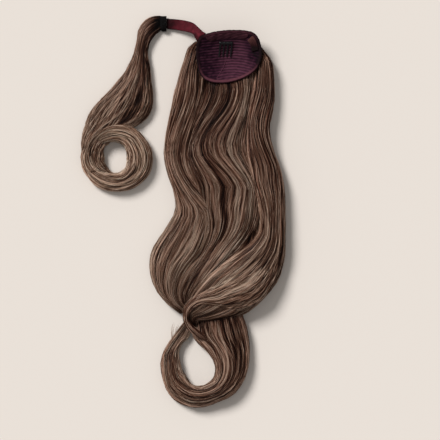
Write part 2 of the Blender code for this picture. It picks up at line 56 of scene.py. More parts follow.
BAND_MIDDLE = (BAND_LOW + BAND_HIGH) / 2
BAND_HALF = (BAND_HIGH - BAND_LOW) / 2

# Sizes, the same as the solids' own
CAP_WIDTH = 0.0735
CAP_LENGTH = 0.0555
CAP_DEPTH = 0.014
CAP_WALL = 0.0018
BOWL_POWER = 2.2
PIPING_DIAMETER = 0.0024
FALL_WIDTH = 0.171
FALL_LENGTH = 0.436
FALL_HEIGHT = 0.034
RING_RADIUS = 0.0444
LOCK_DROP = 0.1676
LOCK_HEIGHT = 0.020
STRAP_WIDTH = 0.0132
STRAP_THICKNESS = 0.0016
GAP = 0.0004
SIDE_SHARE = 0.30
FLAT_SHARE = 0.72
COMB_WIDTH = 0.0165
COMB_LENGTH = 0.0200
COMB_BAR = 0.004
COMB_THICKNESS = 0.0014
TOOTH_COUNT = 4
TOOTH_WIDTH = 0.0021
COMB_ACROSS = -0.10
COMB_ALONG = 0.38

# What follows from them: how steep the bowl is at its rim, the lock's root and the ring's
# middle, which lies a number of its radii left of the band
RIM_STEEPNESS = BOWL_POWER * CAP_DEPTH / (CAP_LENGTH / 2)
ROOT_Y = BAND_MIDDLE[1]
RING_Y = ROOT_Y - LOCK_DROP
RING_REACH = 1.27
RING_X = BAND_LOW[0] - GAP - RING_REACH * RING_RADIUS

# Upwards, and a length too small to see
UP = np.array([0.0, 0.0, 1.0])
TINY = 1e-12

# Where the hair comes out from under the cap, as shares of the rim's reach, and how high it
# may rise from there; the lowest that the middle of a strand may lie
TUCK_START = 1.10
TUCK_REACH = 0.35
TUCK_RISE = 0.030
HAIR_FLOOR = 0.0006

# Cross-lines of the falls and the loop, from root to tip: the left edge's x and y, the right
# edge's x and y, low and high, as shares of the fall's width, length and height
LEFT_FALL = (
    (-0.245, -0.05, -0.1, -0.055, 0, 0.35), (-0.3, -0.03, -0.11, -0.03, 0, 0.59),
    (-0.33, 0.005, -0.12, 0.005, 0, 0.7), (-0.37, 0.055, -0.14, 0.055, 0, 0.7),
    (-0.41, 0.12, -0.17, 0.12, 0, 0.68), (-0.45, 0.2, -0.23, 0.205, 0, 0.65),
    (-0.475, 0.275, -0.27, 0.28, 0, 0.62), (-0.44, 0.345, -0.22, 0.35, 0, 0.62),
    (-0.39, 0.405, -0.03, 0.415, 0, 0.62), (-0.4, 0.445, 0.17, 0.455, 0, 0.62),
    (-0.48, 0.495, 0.22, 0.505, 0, 0.65), (-0.56, 0.55, 0.18, 0.55, 0, 0.68),
    (-0.58, 0.6, -0.02, 0.6, 0, 0.68), (-0.55, 0.655, -0.17, 0.66, 0, 0.65),
    (-0.47, 0.7, -0.23, 0.695, 0, 0.62), (-0.36, 0.735, -0.21, 0.71, 0, 0.53),
)
MIDDLE_FALL = (
    (-0.12, -0.06, 0.15, -0.06, 0.04, 0.35), (-0.14, -0.03, 0.2, -0.03, 0.04, 0.7),
    (-0.17, 0.01, 0.21, 0.01, 0.04, 0.76), (-0.18, 0.065, 0.2, 0.065, 0.04, 0.79),
    (-0.21, 0.12, 0.18, 0.12, 0.04, 0.79), (-0.285, 0.205, 0.17, 0.2, 0.04, 0.79),
    (-0.33, 0.275, 0.155, 0.27, 0.04, 0.79), (-0.32, 0.325, 0.2, 0.325, 0.04, 0.79),
    (-0.275, 0.375, 0.24, 0.375, 0.04, 0.79), (-0.225, 0.42, 0.25, 0.42, 0.04, 0.78),
    (-0.2, 0.465, 0.235, 0.46, 0.04, 0.76), (-0.21, 0.51, 0.19, 0.5, 0.04, 0.74),
    (-0.255, 0.555, 0.12, 0.535, 0.04, 0.72), (-0.325, 0.6, 0.04, 0.575, 0.04, 0.7),
    (-0.38, 0.645, -0.07, 0.615, 0.04, 0.68), (-0.39, 0.69, -0.18, 0.655, 0.04, 0.64),
    (-0.35, 0.725, -0.23, 0.69, 0.04, 0.56),
)
RIGHT_FALL = (
    (0.125, -0.065, 0.2, -0.055, 0.02, 0.35), (0.17, -0.035, 0.255, -0.025, 0.02, 0.59),
    (0.19, 0.005, 0.32, 0.01, 0.02, 0.71), (0.17, 0.065, 0.335, 0.065, 0.02, 0.74),
    (0.145, 0.12, 0.335, 0.125, 0.02, 0.76), (0.125, 0.2, 0.3, 0.205, 0.02, 0.79),
    (0.115, 0.275, 0.335, 0.275, 0.02, 0.82), (0.155, 0.345, 0.395, 0.345, 0.02, 0.82),
    (0.2, 0.41, 0.415, 0.415, 0.02, 0.82), (0.215, 0.46, 0.42, 0.48, 0.02, 0.84),
    (0.2, 0.5, 0.42, 0.545, 0.02, 0.86), (0.11, 0.535, 0.4, 0.595, 0.02, 0.88),
    (-0.02, 0.57, 0.355, 0.643, 0.02, 0.91), (-0.155, 0.605, 0.235, 0.7, 0.02, 0.94),
    (-0.25, 0.65, 0.085, 0.74, 0.06, 0.97), (-0.305, 0.69, -0.085, 0.755, 0.12, 0.97),
    (-0.335, 0.725, -0.21, 0.755, 0.15, 0.88), (-0.305, 0.755, -0.225, 0.77, 0.15, 0.65),
)
LOOP = (
    (-0.27, 0.69, -0.035, 0.66, 0.01, 0.59), (-0.275, 0.725, 0.065, 0.7, 0.01, 0.65),
    (-0.27, 0.762, 0.115, 0.745, 0.01, 0.68), (-0.255, 0.8, 0.145, 0.79, 0.005, 0.68),
    (-0.155, 0.84, 0.155, 0.835, 0, 0.65), (-0.1, 0.88, 0.145, 0.885, 0, 0.65),
    (-0.11, 0.915, 0.11, 0.925, 0, 0.62), (-0.17, 0.934, 0.03, 0.965, 0, 0.62),
    (-0.235, 0.939, -0.11, 0.99, 0, 0.59), (-0.28, 0.929, -0.245, 1, 0, 0.59),
    (-0.31, 0.91, -0.375, 0.985, 0, 0.56), (-0.335, 0.895, -0.46, 0.95, 0, 0.53),
    (-0.35, 0.87, -0.495, 0.895, 0, 0.5), (-0.36, 0.84, -0.49, 0.85, 0, 0.44),
    (-0.33, 0.815, -0.44, 0.815, 0, 0.38), (-0.29, 0.803, -0.38, 0.78, 0, 0.32),
    (-0.275, 0.785, -0.33, 0.755, 0.01, 0.28), (-0.27, 0.758, -0.29, 0.735, 0.01, 0.24),
)
# The top of the right fall, which sweeps to the left and turns down round the neck
TWIST = (
    (0.243, 0.538, 0.375, 0.584, 0.3, 0.72), (0.17, 0.573, 0.331, 0.641, 0.45, 0.86),
    (0.082, 0.598, 0.258, 0.687, 0.52, 0.95), (-0.02, 0.624, 0.141, 0.716, 0.54, 0.99),
    (-0.13, 0.65, 0.002, 0.7275, 0.52, 1), (-0.217, 0.67, -0.13, 0.713, 0.5, 1),
    (-0.28, 0.689, -0.203, 0.712, 0.44, 1), (-0.323, 0.71, -0.247, 0.722, 0.34, 0.98),
    (-0.334, 0.733, -0.272, 0.735, 0.25, 0.93), (-0.327, 0.755, -0.276, 0.75, 0.2, 0.88),
    (-0.298, 0.776, -0.247, 0.7675, 0.15, 0.82), (-0.239, 0.799, -0.188, 0.785, 0.12, 0.74),
    (-0.174, 0.816, -0.122, 0.802, 0.1, 0.62),
)
# The same for the wrap lock, in the ring's radius and the lock's drop and height
WRAP_LOCK = (
    (1.24, -0.058, 1.27, 0.05, 0, 0.42), (1.01, -0.052, 1.09, 0.095, 0, 0.5),
    (0.79, -0.016, 0.98, 0.135, 0, 0.55), (0.63, 0.054, 0.92, 0.18, 0, 0.55),
    (0.56, 0.15, 0.895, 0.24, 0, 0.55), (0.43, 0.257, 0.95, 0.31, 0, 0.6),
    (0.21, 0.368, 1, 0.415, 0, 0.65), (-0.13, 0.479, 1.04, 0.52, 0, 0.75),
    (-0.48, 0.575, 1.04, 0.61, 0, 0.8), (-0.74, 0.666, 0.85, 0.712, 0, 0.8),
    (-0.89, 0.767, 0.33, 0.803, 0, 0.75), (-0.97, 0.86, -0.2, 0.88, 0, 0.7),
    (-0.985, 0.95, -0.51, 0.95, 0, 0.65), (-0.985, 1.03, -0.59, 1.02, 0, 0.6),
)
# The ring: degrees round it, its inner and outer edge in radii, and low and high
OUTER_TURN = (
    (-25, 0.73, 0.97, 0.01, 0.6), (5, 0.7, 1, 0.01, 0.7), (35, 0.56, 0.97, 0.01, 0.75),
    (65, 0.45, 0.96, 0.01, 0.8), (95, 0.42, 0.96, 0.01, 0.8), (125, 0.38, 0.99, 0.01, 0.85),
    (155, 0.32, 1.03, 0.01, 0.85), (185, 0.3, 1.03, 0.01, 0.9), (215, 0.34, 1, 0.01, 0.95),
    (245, 0.41, 0.99, 0.05, 1), (275, 0.45, 0.96, 0.1, 1), (300, 0.48, 0.93, 0.15, 0.95),
    (315, 0.51, 0.9, 0.17, 0.85),
)
INNER_TURN = (
    (280, 0.49, 0.87, 0.07, 0.75), (310, 0.42, 0.86, 0.07, 0.75), (340, 0.35, 0.82, 0.05, 0.7),
    (370, 0.32, 0.79, 0.04, 0.65), (400, 0.35, 0.7, 0.04, 0.6), (430, 0.39, 0.62, 0.04, 0.5),
    (450, 0.44, 0.56, 0.04, 0.4),
)

# The cap's outline: degrees from +X, and reach as a share of the half width and half length
CAP_OUTLINE = (
    (13, 1.05), (29, 1.13), (42, 1.23), (52, 1.28), (63, 1.22), (80, 1.13), (103, 1.11),
    (123, 1.17), (136, 1.23), (149, 1.15), (168, 1.03), (193, 1.00), (212, 1.08), (227, 1.15),
    (241, 1.12), (257, 1.04), (276, 0.96), (297, 0.92), (317, 0.93), (335, 0.97), (353, 0.99),
)


# Tables and curves


def spline(before, start, end, after, share):
    """The value of a smooth curve at a share of the way from start to end."""
    bend = 2 * before - 5 * start + 4 * end - after
    bow = 3 * start - before - 3 * end + after
    return start + 0.5 * share * (end - before + share * (bend + share * bow))


def spline_rows(values, places):
    """Values on a smooth curve through a table's rows, at places from 0 to 1."""
    last = len(values) - 1
    at = np.clip(places, 0, 1) * last
    index = np.minimum(at.astype(int), last - 1)
    near = [values[np.clip(index + step, 0, last)] for step in (-1, 0, 1, 2)]
    return spline(*near, (at - index)[..., None])


def plan_rows(rows, root_x, root_y, width, length, height):
    """A table of cross-lines as metres: both edges in plan, then low and high."""
    values = np.array(rows, float)
    across = values[:, [0, 2]] * width + root_x
    along = root_y - values[:, [1, 3]] * length
    heights = values[:, 4:] * height
    return np.column_stack([across[:, 0], along[:, 0], across[:, 1], along[:, 1], heights])


def fall_rows(rows):
    return plan_rows(rows, CROWN[0], CROWN[1], FALL_WIDTH, FALL_LENGTH, FALL_HEIGHT)


def lock_rows(rows):
    return plan_rows(rows, RING_X, ROOT_Y, RING_RADIUS, LOCK_DROP, LOCK_HEIGHT)


def smooth_step(value, start, end):
    share = np.clip((value - start) / (end - start), 0, 1)
    return share * share * (3 - 2 * share)


def patch(x, y, reach_x, reach_y):
    """A soft patch: 1 where x and y are 0, and next to nothing at twice its reach."""
    return np.exp(-(x / reach_x) ** 2 - (y / reach_y) ** 2)


def unit(vectors, least=0.0):
    """Vectors made 1 long; least, a tiny length, allows for some that have none."""
    return vectors / (np.linalg.norm(vectors, axis=-1, keepdims=True) + least)


def run_along(line):
    """The distance along a line of points, from 0 at its start."""
    steps = np.linalg.norm(np.diff(line, axis=0), axis=1)
    return np.concatenate([[0], np.cumsum(steps)])


def all_round(sides):
    return np.linspace(0, 2 * math.pi, sides, endpoint=False)


def squared_circle(angle, wide_power, tall_power):
    """Places across and up, from -1 to 1, on a circle that the powers square off."""
    wide, tall = np.cos(angle), np.sin(angle)
    return (
        np.sign(wide) * np.abs(wide) ** wide_power, np.sign(tall) * np.abs(tall) ** tall_power
    )


def above_floor(points, least):
    """The same points, with none of them lower than least."""
    points[..., 2] = np.maximum(points[..., 2], least)
    return points


# The cap's bowl


def rim_reach(turn):
    """The cap's outline in one direction, as a share of its half width and half length."""
    turns, reaches = np.array(CAP_OUTLINE, float).T
    count = len(turns)
    turn = np.mod(turn, 360)
    index = (np.searchsorted(turns, turn, side="right") - 1) % count
    span = np.mod(turns[(index + 1) % count] - turns[index], 360)
    near = [reaches[(index + step) % count] for step in (-1, 0, 1, 2)]
    return spline(*near, np.mod(turn - turns[index], 360) / span)


def rim_offset(turn):
    angle = np.radians(turn)
    reach = rim_reach(turn)
    across = reach * np.cos(angle) * CAP_WIDTH / 2
    along = reach * np.sin(angle) * CAP_LENGTH / 2
    return np.stack([across, along], -1)


def bowl_height(share):
    return CROWN[2] + CAP_DEPTH * np.maximum(share, 0) ** BOWL_POWER


def rim_share(points):
    """How far out each point lies in the cap's outline: 1 is on the rim."""
    offset = points[..., :2] - CROWN[:2]
    turn = np.degrees(np.arctan2(offset[..., 1] / CAP_LENGTH, offset[..., 0] / CAP_WIDTH))
    reach = np.linalg.norm(rim_offset(turn), axis=-1)
    return np.linalg.norm(offset, axis=-1) / reach


def bowl_points(turn, share):
    """Points on the bowl's inner face."""
    turn, share = np.broadcast_arrays(np.asarray(turn, float), np.asarray(share, float))
    flat = CROWN[:2] + rim_offset(turn) * share[..., None]
    return np.concatenate([flat, bowl_height(share)[..., None]], -1)


def rim_points(turn, away, up):
    """Points beside the cap's edge: away outside it, square to it in plan, and up over it."""
    turn, away, up = np.broadcast_arrays(np.asarray(turn, float), away, up)
    tangent = rim_offset(turn + 1) - rim_offset(turn - 1)
    outward = unit(np.stack([tangent[..., 1], -tangent[..., 0]], -1))
    flat = CROWN[:2] + rim_offset(turn) + away[..., None] * outward
    return np.concatenate([flat, (bowl_height(1) + up)[..., None]], -1)


def from_crown(points):
    """How far points lie from the cap's middle, to the right and towards its top edge."""
    return points[..., 0] - CROWN[0], points[..., 1] - CROWN[1]


def tuck_under_cap(points, slack):
    """Hair lowered to lie under the cap, from where it comes out round the rim."""
    share = rim_share(points)
    inside = np.minimum(share, 1)
    steep = RIM_STEEPNESS * inside ** (BOWL_POWER - 1)
    under = bowl_height(inside) - CAP_WALL * np.hypot(1, steep) - 2 * GAP
    ease = np.clip((share - TUCK_START) / TUCK_REACH, 0, 1)
    limit = under - slack + ease * ease * TUCK_RISE
    tucked = points.copy()
    tucked[..., 2] = np.minimum(points[..., 2], limit)
    return tucked


# Where the hair is lighter or darker than its length alone makes it: partly painted shade, as
# below the cap's edge, and painted highlight, as on the sweep, partly the hair's own colour, as
# its black end at the band. The middle of the place, its reach across and along, in metres, and
# how much lighter
SHADE_AND_TONE_SPOTS = (
    (0.0785, -0.028, 0.0075, 0.014, -0.42), (0.039, -0.134, 0.03, 0.008, -0.3),
    (0.058, 0.154, 0.04, 0.008, -0.16), (0.054, 0.1, 0.03, 0.04, -0.17),
    (-0.002, 0.125, 0.014, 0.045, -0.07), (0.045, -0.128, 0.024, 0.006, 0.26),
    (-0.033, 0.234, 0.009, 0.016, -0.55), (-0.05, 0.205, 0.014, 0.03, -0.14),
    (-0.0894, 0.146, 0.014, 0.022, 0.07), (-0.0919, 0.101, 0.022, 0.012, 0.09),
    (-0.056, 0.07, 0.012, 0.03, 0.06), (0.065, -0.088, 0.034, 0.022, 0.22),
    (-0.002, -0.054, 0.02, 0.03, 0.06), (0.045, -0.06, 0.016, 0.02, 0.04),
    (0.108, -0.004, 0.01, 0.04, 0.05), (-0.0107, -0.154, 0.01, 0.013, 0.2),
    (0.0244, -0.146, 0.014, 0.01, -0.2), (0.02, -0.108, 0.02, 0.01, 0.06),
    (-0.034, -0.07, 0.014, 0.03, 0.07), (-0.011, -0.192, 0.01, 0.028, -0.12),
    (0.024, -0.225, 0.026, 0.012, -0.13), (0.07, -0.17, 0.014, 0.03, -0.06),
)

# Painted shade in grooves between locks: points in plan, in metres, then width and depth of tone,
# how much darker the painted shade makes it; a negative depth makes a lighter line
SHADED_GROOVES = (
    (((0.105, -0.001), (0.1085, -0.015), (0.1085, -0.032), (0.103, -0.05), (0.092, -0.064)),
     0.0022, 0.26),
    (((0.079, -0.005), (0.084, -0.02), (0.0845, -0.031), (0.076, -0.04)), 0.0026, 0.24),
    (((0.015, -0.08), (0.009, -0.1), (0.004, -0.112)), 0.004, 0.3),
    (((-0.0144, -0.1754), (-0.0144, -0.1929), (-0.0081, -0.2104), (0.0056, -0.2229)),
     0.0024, 0.6),
    (((-0.024, -0.184), (-0.0215, -0.201), (-0.013, -0.219), (0.003, -0.235)), 0.0014, -0.3),
    (((0.0631, -0.1667), (0.0644, -0.1829), (0.0594, -0.2004), (0.0456, -0.2167)),
     0.0022, 0.24),
    (((-0.0444, 0.2083), (-0.0469, 0.1708), (-0.0569, 0.1396), (-0.0732, 0.1171)),
     0.0034, 0.2),
)
GROOVE_STEPS = 24

# The cap's shade on the hair: how dark, and where it starts and ends in the rim's reach
CAP_SHADE = 0.30
CAP_SHADE_START = 1.08
CAP_SHADE_END = 1.38


def groove_shade(points):
    total = np.zeros(points.shape[:-1])
    for corners, width, darker in SHADED_GROOVES:
        nearest = np.full(total.shape, 1.0)
        for x, y in spline_rows(np.array(corners), np.linspace(0, 1, GROOVE_STEPS)):
            nearest = np.minimum(nearest, np.hypot(points[..., 0] - x, points[..., 1] - y))
        # painted shade along each groove
        total -= darker * np.exp(-(nearest / width) ** 2)
    return total


def spot_tone_and_shade(points):
    """How much lighter the hair is here, with painted shade and painted highlights among its own
    lighter and darker places, and painted shade close beside the cap.
    """
    total = groove_shade(points)
    for x, y, across, along, lighter in SHADE_AND_TONE_SPOTS:
        total += lighter * patch(points[..., 0] - x, points[..., 1] - y, across, along)
    return total - CAP_SHADE * smooth_step(rim_share(points), CAP_SHADE_END, CAP_SHADE_START)


# Hair

Level = namedtuple("Level", "edges depth slides swells tones hues paces weight shade")
# How much each level of locks changes the tone, and how much painted shade darkens its valleys,
# coarse to fine
TONE_WEIGHTS = (0.08, 0.13, 0.36, 0.38)
VALLEY_SHADES = (0.07, 0.13, 0.26, 0.14)
# Slow waves in which all strands wander: pace along the layer, and reach in its widths
DRIFT_WAVES = ((1.1, 0.022), (1.9, 0.013), (3.1, 0.008), (4.7, 0.005))
# How far under the layer its places go, and the step by which its slopes are found
UNDER_REACH = 0.2
NEAR = 0.004
ROWS_OF = {"fall": fall_rows, "lock": lock_rows, "ring": np.array}


class Layer:
    """One body of hair: a table of cross-lines, and the locks that run along it."""

    def __init__(self, body):
        self.name = body.name
        self.node = body.node
        self.growth = body.growth
        self.sway = body.sway
        self.roundness = body.roundness
        self.ages = np.array(body.ages)
        self.curled = body.kind == "ring"
        self.rows = ROWS_OF[body.kind](body.table)
        self.random = np.random.default_rng(body.seed)
        self.waves = self.random.uniform(-1, 1, (4, 4))
        self.levels = [
            self.make_level(count, depth, weight, shade)
            for (count, depth), weight, shade in zip(body.locks, TONE_WEIGHTS, VALLEY_SHADES)
        ]
        self.spread_places()

    def make_level(self, count, depth, weight, shade):
        """Locks of one size: where they lie, and how each one swells, tints and wanders."""
        random = self.random
        total = int(count * 1.6)
        steps = random.uniform(0.35, 1.65, total)
        edges = -0.3 + 1.6 * np.concatenate([[0], np.cumsum(steps)]) / steps.sum()
        sizes = np.array([0.9, 0.5, 0.3]) / count + (0.010 if count > 30 else 0.0)
        slides = np.column_stack([
            sizes, np.array([0.9, 2.1, 3.9]) * random.uniform(0.8, 1.2, 3),
            random.uniform(-1.2, 1.2, 3), random.uniform(0, 1, 3),
        ])
        swells = random.uniform(0, 1, (total, 2))
        tones = random.uniform(-1, 1, total)
        hues = random.uniform(0, 1, total)
        paces = random.uniform(0.5, 1.8, total)
        return Level(edges, depth, slides, swells, tones, hues, paces, weight, shade)

    def spread_places(self):
        """Places along the table that are evenly spaced along the layer's middle."""
        places = np.linspace(0, 1, 400)
        left, right, _, _ = self.cross_line(places)
        run = run_along((left + right) / 2)
        self.run = run / run[-1]
        self.places = places

    def cross_line(self, places):
        """Both edges in plan, low and high, at places along the table."""
        values = spline_rows(self.rows, places)
        if not self.curled:
            return values[..., 0:2], values[..., 2:4], values[..., 4], values[..., 5]
        angle = np.radians(180 + values[..., 0])
        outward = np.stack([np.cos(angle), np.sin(angle)], -1) * RING_RADIUS
        middle = np.array([RING_X, RING_Y])
        inner = middle + values[..., 1:2] * outward
        outer = middle + values[..., 2:3] * outward
        return inner, outer, values[..., 3] * LOCK_HEIGHT, values[..., 4] * LOCK_HEIGHT

    def drift(self, along, around):
        """How far the strands wander sideways."""
        moved = np.zeros(np.broadcast(along, around).shape)
        for (size, phase, slant, skew), (pace, reach) in zip(self.waves, DRIFT_WAVES):
            angle = 2 * math.pi * (pace * along + 1.5 * slant * around + phase)
            moved += reach * (0.6 + 0.4 * abs(size)) * np.sin(angle + skew)
        sway = self.sway
        fade = smooth_step(along, 0.06, 0.18) * smooth_step(along, sway.end + 0.12, sway.end)
        moved -= sway.reach * fade * np.cos(2 * math.pi * (along - sway.crest) / sway.pitch)
        edge = np.clip(4 * around * (1 - around), 0, 1)
        return moved * edge

    def find_locks(self, level, along, around):
        """Which lock of this level each place is in, and how far across it, from 0 to 1."""
        place = around + np.zeros(np.broadcast(along, around).shape)
        for size, pace, slant, phase in level.slides:
            place = place + size * np.sin(2 * math.pi * (pace * along + slant * around + phase))
        lock = np.searchsorted(level.edges, place, side="right") - 1
        lock = np.clip(lock, 0, len(level.edges) - 2)
        width = level.edges[lock + 1] - level.edges[lock]
        return lock, np.clip((place - level.edges[lock]) / width, 0, 1), width

    def locks(self, along, around):
        """How deep the surface lies under its crests, in metres, and how light the hair is, with
        painted shade in the valleys between locks.
        """
        depth = np.zeros(np.broadcast(along, around).shape)
        tone = np.full(depth.shape, 0.5)
        for level in self.levels:
            lock, share, _ = self.find_locks(level, along, around)
            valley = np.abs(2 * share - 1) ** 2.2
            swell = np.sin(2 * math.pi * (2.3 * along + level.swells[lock, 0]))
            sink = np.sin(2 * math.pi * (1.3 * along + level.swells[lock, 1]))
            depth += level.depth * (valley * (0.8 + 0.2 * swell) + 0.3 * (1 - sink))
            change = np.sin(2 * math.pi * (level.paces[lock] * along + level.swells[lock, 1]))
            tone += level.weight * (0.88 * level.tones[lock] + 0.20 * change)
            # painted shade in the valleys between locks, and lighter on their crests
            tone -= level.shade * (valley - 0.35)
        return depth, tone

    def ash(self, along, around):
        """How ashen the hair is, where 0 is warm brown."""
        total = np.zeros(np.broadcast(along, around).shape)
        for level in self.levels[1:3]:
            lock, _, _ = self.find_locks(level, along, around)
            total += 0.5 * level.hues[lock]
        return total

    def gathered(self, along, around, share_of):
        """The places of strands drawn towards the crests of the middle-sized locks."""
        _, share, width = self.find_locks(self.levels[1], along, around)
        return around + share_of * width * np.sin(2 * math.pi * share) / (2 * math.pi)

    def bare(self, along, around):
        """Points on the smooth cross-section: 0 to 1 over the top, beyond that under it."""
        places = np.interp(np.clip(along, 0, 1), self.run, self.places)
        left, right, low, high = self.cross_line(places)
        top = np.clip(around, 0, 1)
        under = np.maximum(-around, around - 1).clip(0, UNDER_REACH) / UNDER_REACH
        across = -np.cos(math.pi * top)
        dome = np.sqrt(np.clip(1 - np.abs(across) ** self.roundness, 0, 1))
        side = low + SIDE_SHARE * (high - low)
        height = side + (high - side) * dome - (side - low) * np.sin(under * math.pi / 2)
        across = across * (1 - (1 - FLAT_SHARE) * (1 - np.cos(under * math.pi / 2)))
        middle = (left + right) / 2
        half = (right - left) / 2
        flat = middle + across[..., None] * half
        return np.concatenate([flat, height[..., None]], -1)

    def surface(self, along, around, lift):
        """Points, outward normals and tones; lift is above the locks' own surface."""
        along, around, lift = np.broadcast_arrays(along, around, lift)
        wandered = around - self.drift(along, around)
        point = self.bare(along, wandered)
        step_around = self.bare(along, wandered + NEAR) - self.bare(along, wandered - NEAR)
        step_along = self.bare(along + NEAR, wandered) - self.bare(along - NEAR, wandered)
        normal = unit(np.cross(step_around, step_along), TINY)
        normal = normal * self.facing(along, point, normal)[..., None]
        depth, tone = self.locks(along, around)
        placed = point + normal * (lift - depth)[..., None]
        return placed, normal, tone + spot_tone_and_shade(placed)

    def facing(self, along, point, normal):
        """1 where a normal points out of the cross-section, and -1 where it points in."""
        places = np.interp(np.clip(along, 0, 1), self.run, self.places)
        left, right, low, high = self.cross_line(places)
        centre = np.concatenate(
            [(left + right) / 2, (low + 0.35 * (high - low))[..., None]], -1
        )
        away = np.sum((point - centre) * normal, axis=-1)
        return np.where(away < 0, -1.0, 1.0)

    def age(self, along):
        """How far from the root to the tip of the hair, from 0 to 1."""
        return np.interp(along, self.ages[:, 0], self.ages[:, 1])


# Meshes


def build_mesh(name, points, quads, triangles, **values):
    """A mesh with values at its points; one value may stand for many points."""
    mesh = bpy.data.meshes.new(name)
    corners = np.concatenate([quads.ravel(), triangles.ravel()]).astype(np.int32)
    sizes = np.concatenate([np.full(len(quads), 4), np.full(len(triangles), 3)])
    starts = np.concatenate([[0], np.cumsum(sizes)[:-1]]).astype(np.int32)
    mesh.vertices.add(points.size // 3)
    mesh.vertices.foreach_set("co", np.ascontiguousarray(points.ravel(), np.float32))
    mesh.loops.add(len(corners))
    mesh.loops.foreach_set("vertex_index", corners)
    mesh.polygons.add(len(sizes))
    mesh.polygons.foreach_set("loop_start", starts)
    mesh.update(calc_edges=True)
    mesh.validate()
    mesh.shade_smooth()
    for label, numbers in values.items():
        layer = mesh.attributes.new(label, "FLOAT", "POINT")
        full = np.broadcast_to(numbers, points.shape[:-1]).ravel()
        layer.data.foreach_set("value", np.ascontiguousarray(full, np.float32))
    return mesh


def add_piece(mesh, look, slot, *nodes):
    """A visible piece, named as its mesh is."""
    piece = bpy.data.objects.new(mesh.name, mesh)
    bpy.context.scene.collection.objects.link(piece)
    mesh.materials.append(look)
    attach(piece, "root")
    if nodes:
        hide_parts(*nodes)
    return piece


def tube_faces(lines, steps, sides, closed=False):
    """Quads and end triangles for many tubes with rings of points in this order."""
    line = np.arange(lines)[:, None, None]
    step = np.arange(steps if closed else steps - 1)[None, :, None]
    side = np.arange(sides)[None, None, :]
    after = (side + 1) % sides
    ring = (line * steps + step) * sides
    ring_next = (line * steps + (step + 1) % steps) * sides
    quads = np.stack(
        np.broadcast_arrays(ring + side, ring_next + side, ring_next + after, ring + after), -1
    )
    if closed:
        return quads.reshape(-1, 4), np.zeros((0, 3), int)
    first = np.arange(lines) * steps * sides
    last = first + (steps - 1) * sides
    caps = []
    for index in range(1, sides - 1):
        caps.append(np.stack([first, first + index, first + index + 1], -1))
        caps.append(np.stack([last, last + index + 1, last + index], -1))
    return quads.reshape(-1, 4), np.concatenate(caps)


def closed_loft(name, rings, **values):
    """One closed body through rings of points, shaped (rings, points, 3)."""
    steps, sides = rings.shape[:2]
    quads, _ = tube_faces(1, steps, sides)
    ends = np.stack([rings[0].mean(0), rings[-1].mean(0)])
    points = np.concatenate([rings.reshape(-1, 3), ends])
    first = steps * sides
    side = np.arange(sides)
    after = (side + 1) % sides
    start = np.stack([np.full(sides, first), side, after], -1)
    base = (steps - 1) * sides
    finish = np.stack([np.full(sides, first + 1), base + after, base + side], -1)
    for label, numbers in values.items():
        full = np.broadcast_to(numbers, (steps, sides))
        values[label] = np.append(full, [full[0].mean(), full[-1].mean()])
    return build_mesh(name, points, quads, np.concatenate([start, finish]), **values)


def strand_mesh(name, paths, normals, radii, sides=3, **values):
    """Thin tubes along the paths, shaped (strands, steps, 3)."""
    lines, steps = paths.shape[:2]
    radii = np.broadcast_to(radii, (lines, steps))
    tangents = unit(np.gradient(paths, axis=1), TINY)
    across = unit(np.cross(tangents, normals), TINY)
    upward = np.cross(across, tangents)
    rings = []
    for side in range(sides):
        angle = math.radians(90 + 360 * side / sides)
        turned = math.sin(angle) * upward + math.cos(angle) * across
        rings.append(paths + radii[..., None] * turned)
    quads, triangles = tube_faces(lines, steps, sides)
    values = {label: np.asarray(numbers)[..., None] for label, numbers in values.items()}
    return build_mesh(name, np.stack(rings, 2), quads, triangles, **values)


# Materials


def seen(red, green, blue):
    """A colour given as seen, from 0 to 255, in the shader's linear values."""
    found = []
    for value in (red, green, blue):
        value /= 255
        linear = value / 12.92 if value <= 0.04045 else ((value + 0.055) / 1.055) ** 2.4
        found.append(linear)
    return (*found, 1.0)


def new_material(name, roughness, specular, sheen=0.0):
    made = bpy.data.materials.new(name)
    made.use_nodes = True
    shader = made.node_tree.nodes["Principled BSDF"]
    shader.inputs["Roughness"].default_value = roughness
    shader.inputs["Specular IOR Level"].default_value = specular
    shader.inputs["Sheen Weight"].default_value = sheen
    return made, made.node_tree, shader


def ramp(tree, source, stops):
    node = tree.nodes.new("ShaderNodeValToRGB")
    elements = node.color_ramp.elements
    while len(elements) > 1:
        elements.remove(elements[0])
    elements[0].position = stops[0][0]
    elements[0].color = stops[0][1]
    for place, color in stops[1:]:
        element = elements.new(place)
        element.color = color
    tree.links.new(source, node.inputs["Fac"])
    return node.outputs["Color"]


def grey_ramp(tree, source, *stops):
    return ramp(tree, source, [(place, (value, value, value, 1)) for place, value in stops])


def attribute(tree, name):
    node = tree.nodes.new("ShaderNodeAttribute")
    node.attribute_name = name
    return node.outputs["Fac"]


def maths(tree, operation, *sources):
    node = tree.nodes.new("ShaderNodeMath")
    node.operation = operation
    for source, socket in zip(sources, node.inputs):
        if isinstance(source, (int, float)):
            socket.default_value = source
        else:
            tree.links.new(source, socket)
    return node.outputs["Value"]


def waves(tree, source, pitch):
    """A wave from 0 to 1 along a distance in metres."""
    angle = maths(tree, "MULTIPLY_ADD", source, 2 * math.pi / pitch, 0.0)
    return maths(tree, "MULTIPLY_ADD", maths(tree, "SINE", angle), 0.5, 0.5)


def noise(tree, scale, detail=3.0):
    place = tree.nodes.new("ShaderNodeTexCoord").outputs["Object"]
    node = tree.nodes.new("ShaderNodeTexNoise")
    node.inputs["Scale"].default_value = scale
    node.inputs["Detail"].default_value = detail
    tree.links.new(place, node.inputs["Vector"])
    return node.outputs["Fac"]


